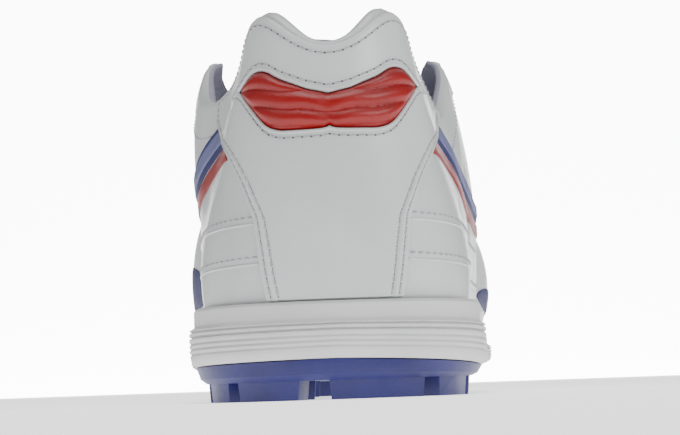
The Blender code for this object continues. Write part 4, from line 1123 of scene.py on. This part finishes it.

# Stitches: short threads between needle holes, along rows on the skin; each needle hole is a small dark bead
# of painted shade
stitchMake = {
    "pitch": 0.0023, "softPitch": 0.0024, "length": 0.0016, "radius": 0.00028, "hole": 0.00036,
    "threadLift": 0.00008, "holeSink": 0.00002, "holeHeight": 0.0001, "threadRings": 4, "holeRings": 2,
    "sides": 6,
}
threads = ([], [])
holeShadeBeads = ([], [])


def addBead(store, middle, ways, length, radius, high, rings):
    # A small rounded thread, or a hole's dark bead of painted shade, long along one way and flattened on the
    # skin
    along, across, out = ways
    sides = stitchMake["sides"]
    base = len(store[0])
    for ring in range(rings + 1):
        angle = math.pi * (ring + 0.35) / (rings + 0.7)
        wide = math.sin(angle) ** 0.7
        spot = middle + along * math.cos(angle) * length / 2
        store[0].extend(circlePoints(spot, across * radius * wide, out * high * wide, sides))
    store[1].extend(loopFaces(rings + 1, sides, base) + capFaces(rings + 1, sides, base))


def stitchRow(path, outs, pitch=stitchMake["softPitch"], holes=False):
    make = stitchMake
    lengths = runLengths(path)
    count = max(int(lengths[-1] / pitch), 1)

    def at(place):
        spot = np.array([np.interp(place, lengths, path[:, axis]) for axis in range(3)])
        out = np.array([np.interp(place, lengths, outs[:, axis]) for axis in range(3)])
        return spot, unit(out)

    for number in range(count):
        place = (number + 0.5) * lengths[-1] / count
        spot, out = at(place)
        along = unit(at(place + 0.0003)[0] - at(place - 0.0003)[0])
        across = unit(np.cross(out, along))
        addBead(threads, spot + out * make["threadLift"], (along, across, out), make["length"],
                make["radius"], make["radius"], make["threadRings"])
        # Needle hole: a small dark bead of painted shade, for the shade in the pit
        if holes:
            spot, out = at(number * lengths[-1] / count)
            addBead(holeShadeBeads, spot - out * make["holeSink"], (along, across, out), make["hole"] * 2,
                    make["hole"], make["holeHeight"], make["holeRings"])


def counterStitches():
    # Two rows down each side edge of the counter, and one along the tab below its folded edge
    make = counterMake
    for side in (-1, 1):
        for row in (0, 1):
            inset = make["rowInset"] + row * make["rowPitch"]
            height = np.linspace(0.06, 0.985, 90)
            end = endRib(side, height)
            width = np.linalg.norm(skin(side * end, height) - skin(side * (end - 0.3), height), axis=1) / 0.3
            rib = side * (end - inset / width)
            path = lifted(rib, height, make["gap"] + counterLift(inset))
            stitchRow(path, skinOut(rib, height), stitchMake["pitch"], True)
    rib, height = counterPoints(np.linspace(-0.93, 0.93, 120), 0.962)
    path = lifted(rib, height, make["gap"] + make["thickness"])
    stitchRow(path, skinOut(rib, height), stitchMake["pitch"], True)


def windowStitches():
    loop = smoothLoop(padOutline(0.0021), 180)
    rib, height = locate(loop[:, 0], loop[:, 1])
    outs = skinOut(rib, height)
    path = seen(loop[:, 0], loop[:, 1], counterMake["gap"] + counterMake["thickness"])
    stitchRow(np.vstack((path, path[:1])), np.vstack((outs, outs[:1])), stitchMake["pitch"], True)


def eyestayStitches():
    # Two rows above the lower edge and one along the throat, each from side to side round the front
    make = eyestayMake
    last = make["edge"][-1][0]
    for inset, fromTop in ((0.0018, False), (0.0036, False), (0.0018, True)):
        ribs = np.linspace(throatStart, vampPoint - 0.04 if fromTop else last - 0.12, 110)
        ribs = np.concatenate((-ribs, ribs[::-1]))
        heights = []
        for rib in ribs:
            if fromTop:
                heights.append(heightBelow(rib, edgeTop(rib), inset))
            else:
                places = np.linspace(eyestayLow(rib), edgeTop(rib), 60)
                heights.append(np.interp(inset, runLengths(skin(rib, places)), places))
        stitchRow(lifted(ribs, heights, make["gap"] + make["thickness"]), skinOut(ribs, heights))


def collarStitches():
    # One row 9 mm below the topline on each side, from the counter to the eyestay
    for side in (-1, 1):
        ribs = np.linspace(2.2, 5.7, 120) * side
        heights = [heightBelow(rib, 1.0, 0.009) for rib in ribs]
        stitchRow(lifted(ribs, heights, 0.0), skinOut(ribs, heights))


# Seams: a narrow raised welt on the quarters, stitched along its upper side
seamMake = {"radius": 0.0004, "sink": 0.45, "levels": (0.034, 0.044), "last": (6.4, 5.6), "drop": 0.004,
            "startRib": 1.6, "startGap": 0.03, "stitchUp": 0.0016, "lift": 0.00005, "steps": 110}


def seamPath(side, level, first, last):
    shares = np.linspace(0, 1, seamMake["steps"])
    ribs = (first + (last - first) * shares) * side
    heights = heightsAtLevel(ribs, level - seamMake["drop"] * shares)
    return lifted(ribs, heights, seamMake["lift"]), skinOut(ribs, heights)


def makeSeams():
    make = seamMake
    for side, place in ((-1, "inner"), (1, "outer")):
        for name, level, last in zip(("LowSeam", "HighSeam"), make["levels"], make["last"]):
            first = float(endRib(side, heightAtLevel(side * make["startRib"], level))) + make["startGap"]
            path, outs = seamPath(side, level, first, last)
            path = path - outs * make["radius"] * make["sink"]
            tubeAlong(place + name, path, make["radius"], "pearlLeather", "white_leather")
            stitchRow(*seamPath(side, level + make["stitchUp"], first, last))


# Plain bands on the quarters, from the counter forward to the eyestay
bandMake = {
    "thickness": 0.00035, "gap": 0.00012, "columns": 120, "rows": 8, "last": 6.0,
    "startRib": 2.0, "startGap": 0.012, "under": 0.00002, "edge": 0.4, "rim": (2, 0.2),
    # Name, material, upper and lower edge above the floor at the counter and at the eyestay
    "bands": (("navyBand", "navyFilm", 0.0750, 0.0668, 0.0560, 0.0500),
              ("lilacBand", "lilacFilm", 0.0735, 0.0686, 0.0548, 0.0514),
              ("redBand", "redLeather", 0.0662, 0.0612, 0.0494, 0.0458)),
}


def layFilm(name, ribRows, levelRows, lift, gap, part, slotName):
    # Thin film on the skin over rows of ribs and levels, lower at its two long edges
    outside = []
    inside = []
    last = len(levelRows) - 1
    for row, (ribs, levels) in enumerate(zip(ribRows, levelRows)):
        heights = heightsAtLevel(ribs, levels)
        rise = lift if 0 < row < last else lift * bandMake["edge"]
        outside.append(lifted(ribs, heights, rise + gap))
        inside.append(lifted(ribs, heights, bandMake["under"]))
    finishShell(name, inside, outside, bandMake["rim"], part, slotName)


def makeBands():
    make = bandMake
    shares = np.linspace(0, 1, make["columns"])
    for side, place in ((-1, "Inner"), (1, "Outer")):
        for name, part, topBack, lowBack, topFront, lowFront in make["bands"]:
            ribRows = []
            levelRows = []
            for up in np.linspace(0, 1, make["rows"] + 1):
                back = lowBack + (topBack - lowBack) * up
                front = lowFront + (topFront - lowFront) * up
                first = float(endRib(side, heightAtLevel(side * make["startRib"], back))) + make["startGap"]
                ribRows.append(side * (first + (make["last"] - first) * shares))
                levelRows.append(back + (front - back) * ease(shares, 0.0, 1.0))
            lift = make["gap"] + make["thickness"] * (2 if part == "lilacFilm" else 1)
            slotName = "red_leather" if part == "redLeather" else "white_leather"
            layFilm(name + place, ribRows, levelRows, lift, 0.0, part, slotName)


# Plain blue wedges low on the sides of the ball
wedgeMake = {
    # Name, first and last rib, lower and upper level above the floor
    "wedges": (("outerWedge", 6.4, 9.4, 0.0255, 0.0335), ("innerWedge", -9.6, -6.8, 0.0300, 0.0450)),
    "thickness": 0.0003, "gap": 0.0001, "columns": 60, "rows": 8, "drop": 0.002, "blunt": 0.02,
}


def makeWedges():
    make = wedgeMake
    shares = np.linspace(0, 1, make["columns"])
    swell = np.maximum(np.sin(math.pi * shares) ** 0.6, make["blunt"])
    for name, first, last, low, top in make["wedges"]:
        rows = make["rows"] + 1
        middle = (low + top) / 2 - make["drop"] * shares
        levelRows = [middle + (top - low) * (up - 0.5) * swell for up in np.linspace(0, 1, rows)]
        ribRows = [first + (last - first) * shares] * rows
        layFilm(name, ribRows, levelRows, make["thickness"], make["gap"], "navyFilm", "blue_rubber")


counterStitches()
windowStitches()
eyestayStitches()
collarStitches()
makeSeams()
makeBands()
makeWedges()
finishPiece("stitchThreads", *threads, ("thread",), "white_cord", sharp=80)
# Needle holes: dark beads of painted shade
finishPiece("stitchHoleShade", *holeShadeBeads, ("needleHole",), "white_leather", sharp=80)
print("stitches, seams and bands made")

# Camera: behind the heel, as low as the floor lets it
view = {
    "place": (0.00209, -0.704, 0.0036), "pitch": 4.15, "roll": -2.0, "lens": 121.8, "sensor": 36,
    "clip": 0.01,
}


def makeCamera():
    camera = linkObject("camera", bpy.data.cameras.new("camera"))
    camera.data.lens = view["lens"]
    camera.data.sensor_width = view["sensor"]
    camera.data.clip_start = view["clip"]
    camera.location = view["place"]
    pitch = math.radians(view["pitch"])
    aim = Vector((0, math.cos(pitch), math.sin(pitch))).to_track_quat("-Z", "Y").to_matrix().to_4x4()
    camera.rotation_euler = (aim @ Matrix.Rotation(math.radians(view["roll"]), 4, "Z")).to_euler()
    bpy.context.scene.camera = camera


# Studio: pale floor and backdrop, a large soft light from the right, one above and a weak one from the left
studio = {
    "floorSize": 9.0, "floorColour": (0.95, 0.95, 0.95), "world": (1.0, 1.0, 1.0), "worldStrength": 0.26,
    "floorGlow": 1.2, "backGlow": 10.0, "backPlace": 3.2, "backSize": 1.5, "backFoot": -0.1,
    "boardRough": 0.9,
    # Name, place, aim, width, watts
    "lights": (("keyLight", (0.75, -0.75, 0.75), (0, -0.08, 0.05), 0.5, 6.2),
               ("topLight", (-0.05, -0.15, 1.1), (0, 0, 0.05), 0.6, 4.4),
               ("fillLight", (-0.9, -0.5, 0.4), (0, -0.05, 0.05), 0.8, 0.8)),
}


def makeBoard(name, corners, glow):
    # A plain white board that glows a little, so that it stays white behind the shoe
    mesh = bpy.data.meshes.new(name)
    mesh.from_pydata(corners, [], [(0, 1, 2, 3)])
    paint = bpy.data.materials.new(name + "Paint")
    paint.use_nodes = True
    shader = paint.node_tree.nodes["Principled BSDF"]
    shader.inputs["Base Color"].default_value = (*studio["floorColour"], 1)
    shader.inputs["Roughness"].default_value = studio["boardRough"]
    shader.inputs["Emission Color"].default_value = (1, 1, 1, 1)
    shader.inputs["Emission Strength"].default_value = glow
    mesh.materials.append(paint)
    linkObject(name, mesh)


def makeStudio():
    world = bpy.data.worlds.new("studio")
    bpy.context.scene.world = world
    world.use_nodes = True
    sky = world.node_tree.nodes["Background"]
    sky.inputs["Color"].default_value = (*studio["world"], 1)
    sky.inputs["Strength"].default_value = studio["worldStrength"]
    half = studio["floorSize"] / 2
    corners = [(-half, -half, 0), (half, -half, 0), (half, half, 0), (-half, half, 0)]
    makeBoard("floor", corners, studio["floorGlow"])
    wide = studio["backSize"] / 2
    back = studio["backPlace"]
    foot = studio["backFoot"]
    corners = [(-wide, back, foot), (wide, back, foot), (wide, back, wide), (-wide, back, wide)]
    makeBoard("backdrop", corners, studio["backGlow"])
    for name, place, aim, width, watts in studio["lights"]:
        lamp = bpy.data.lights.new(name, "AREA")
        lamp.shape = "SQUARE"
        lamp.size = width
        lamp.energy = watts
        item = linkObject(name, lamp)
        item.location = place
        item.rotation_euler = (Vector(aim) - Vector(place)).to_track_quat("-Z", "Y").to_euler()


makeCamera()
makeStudio()
print("camera and studio made")
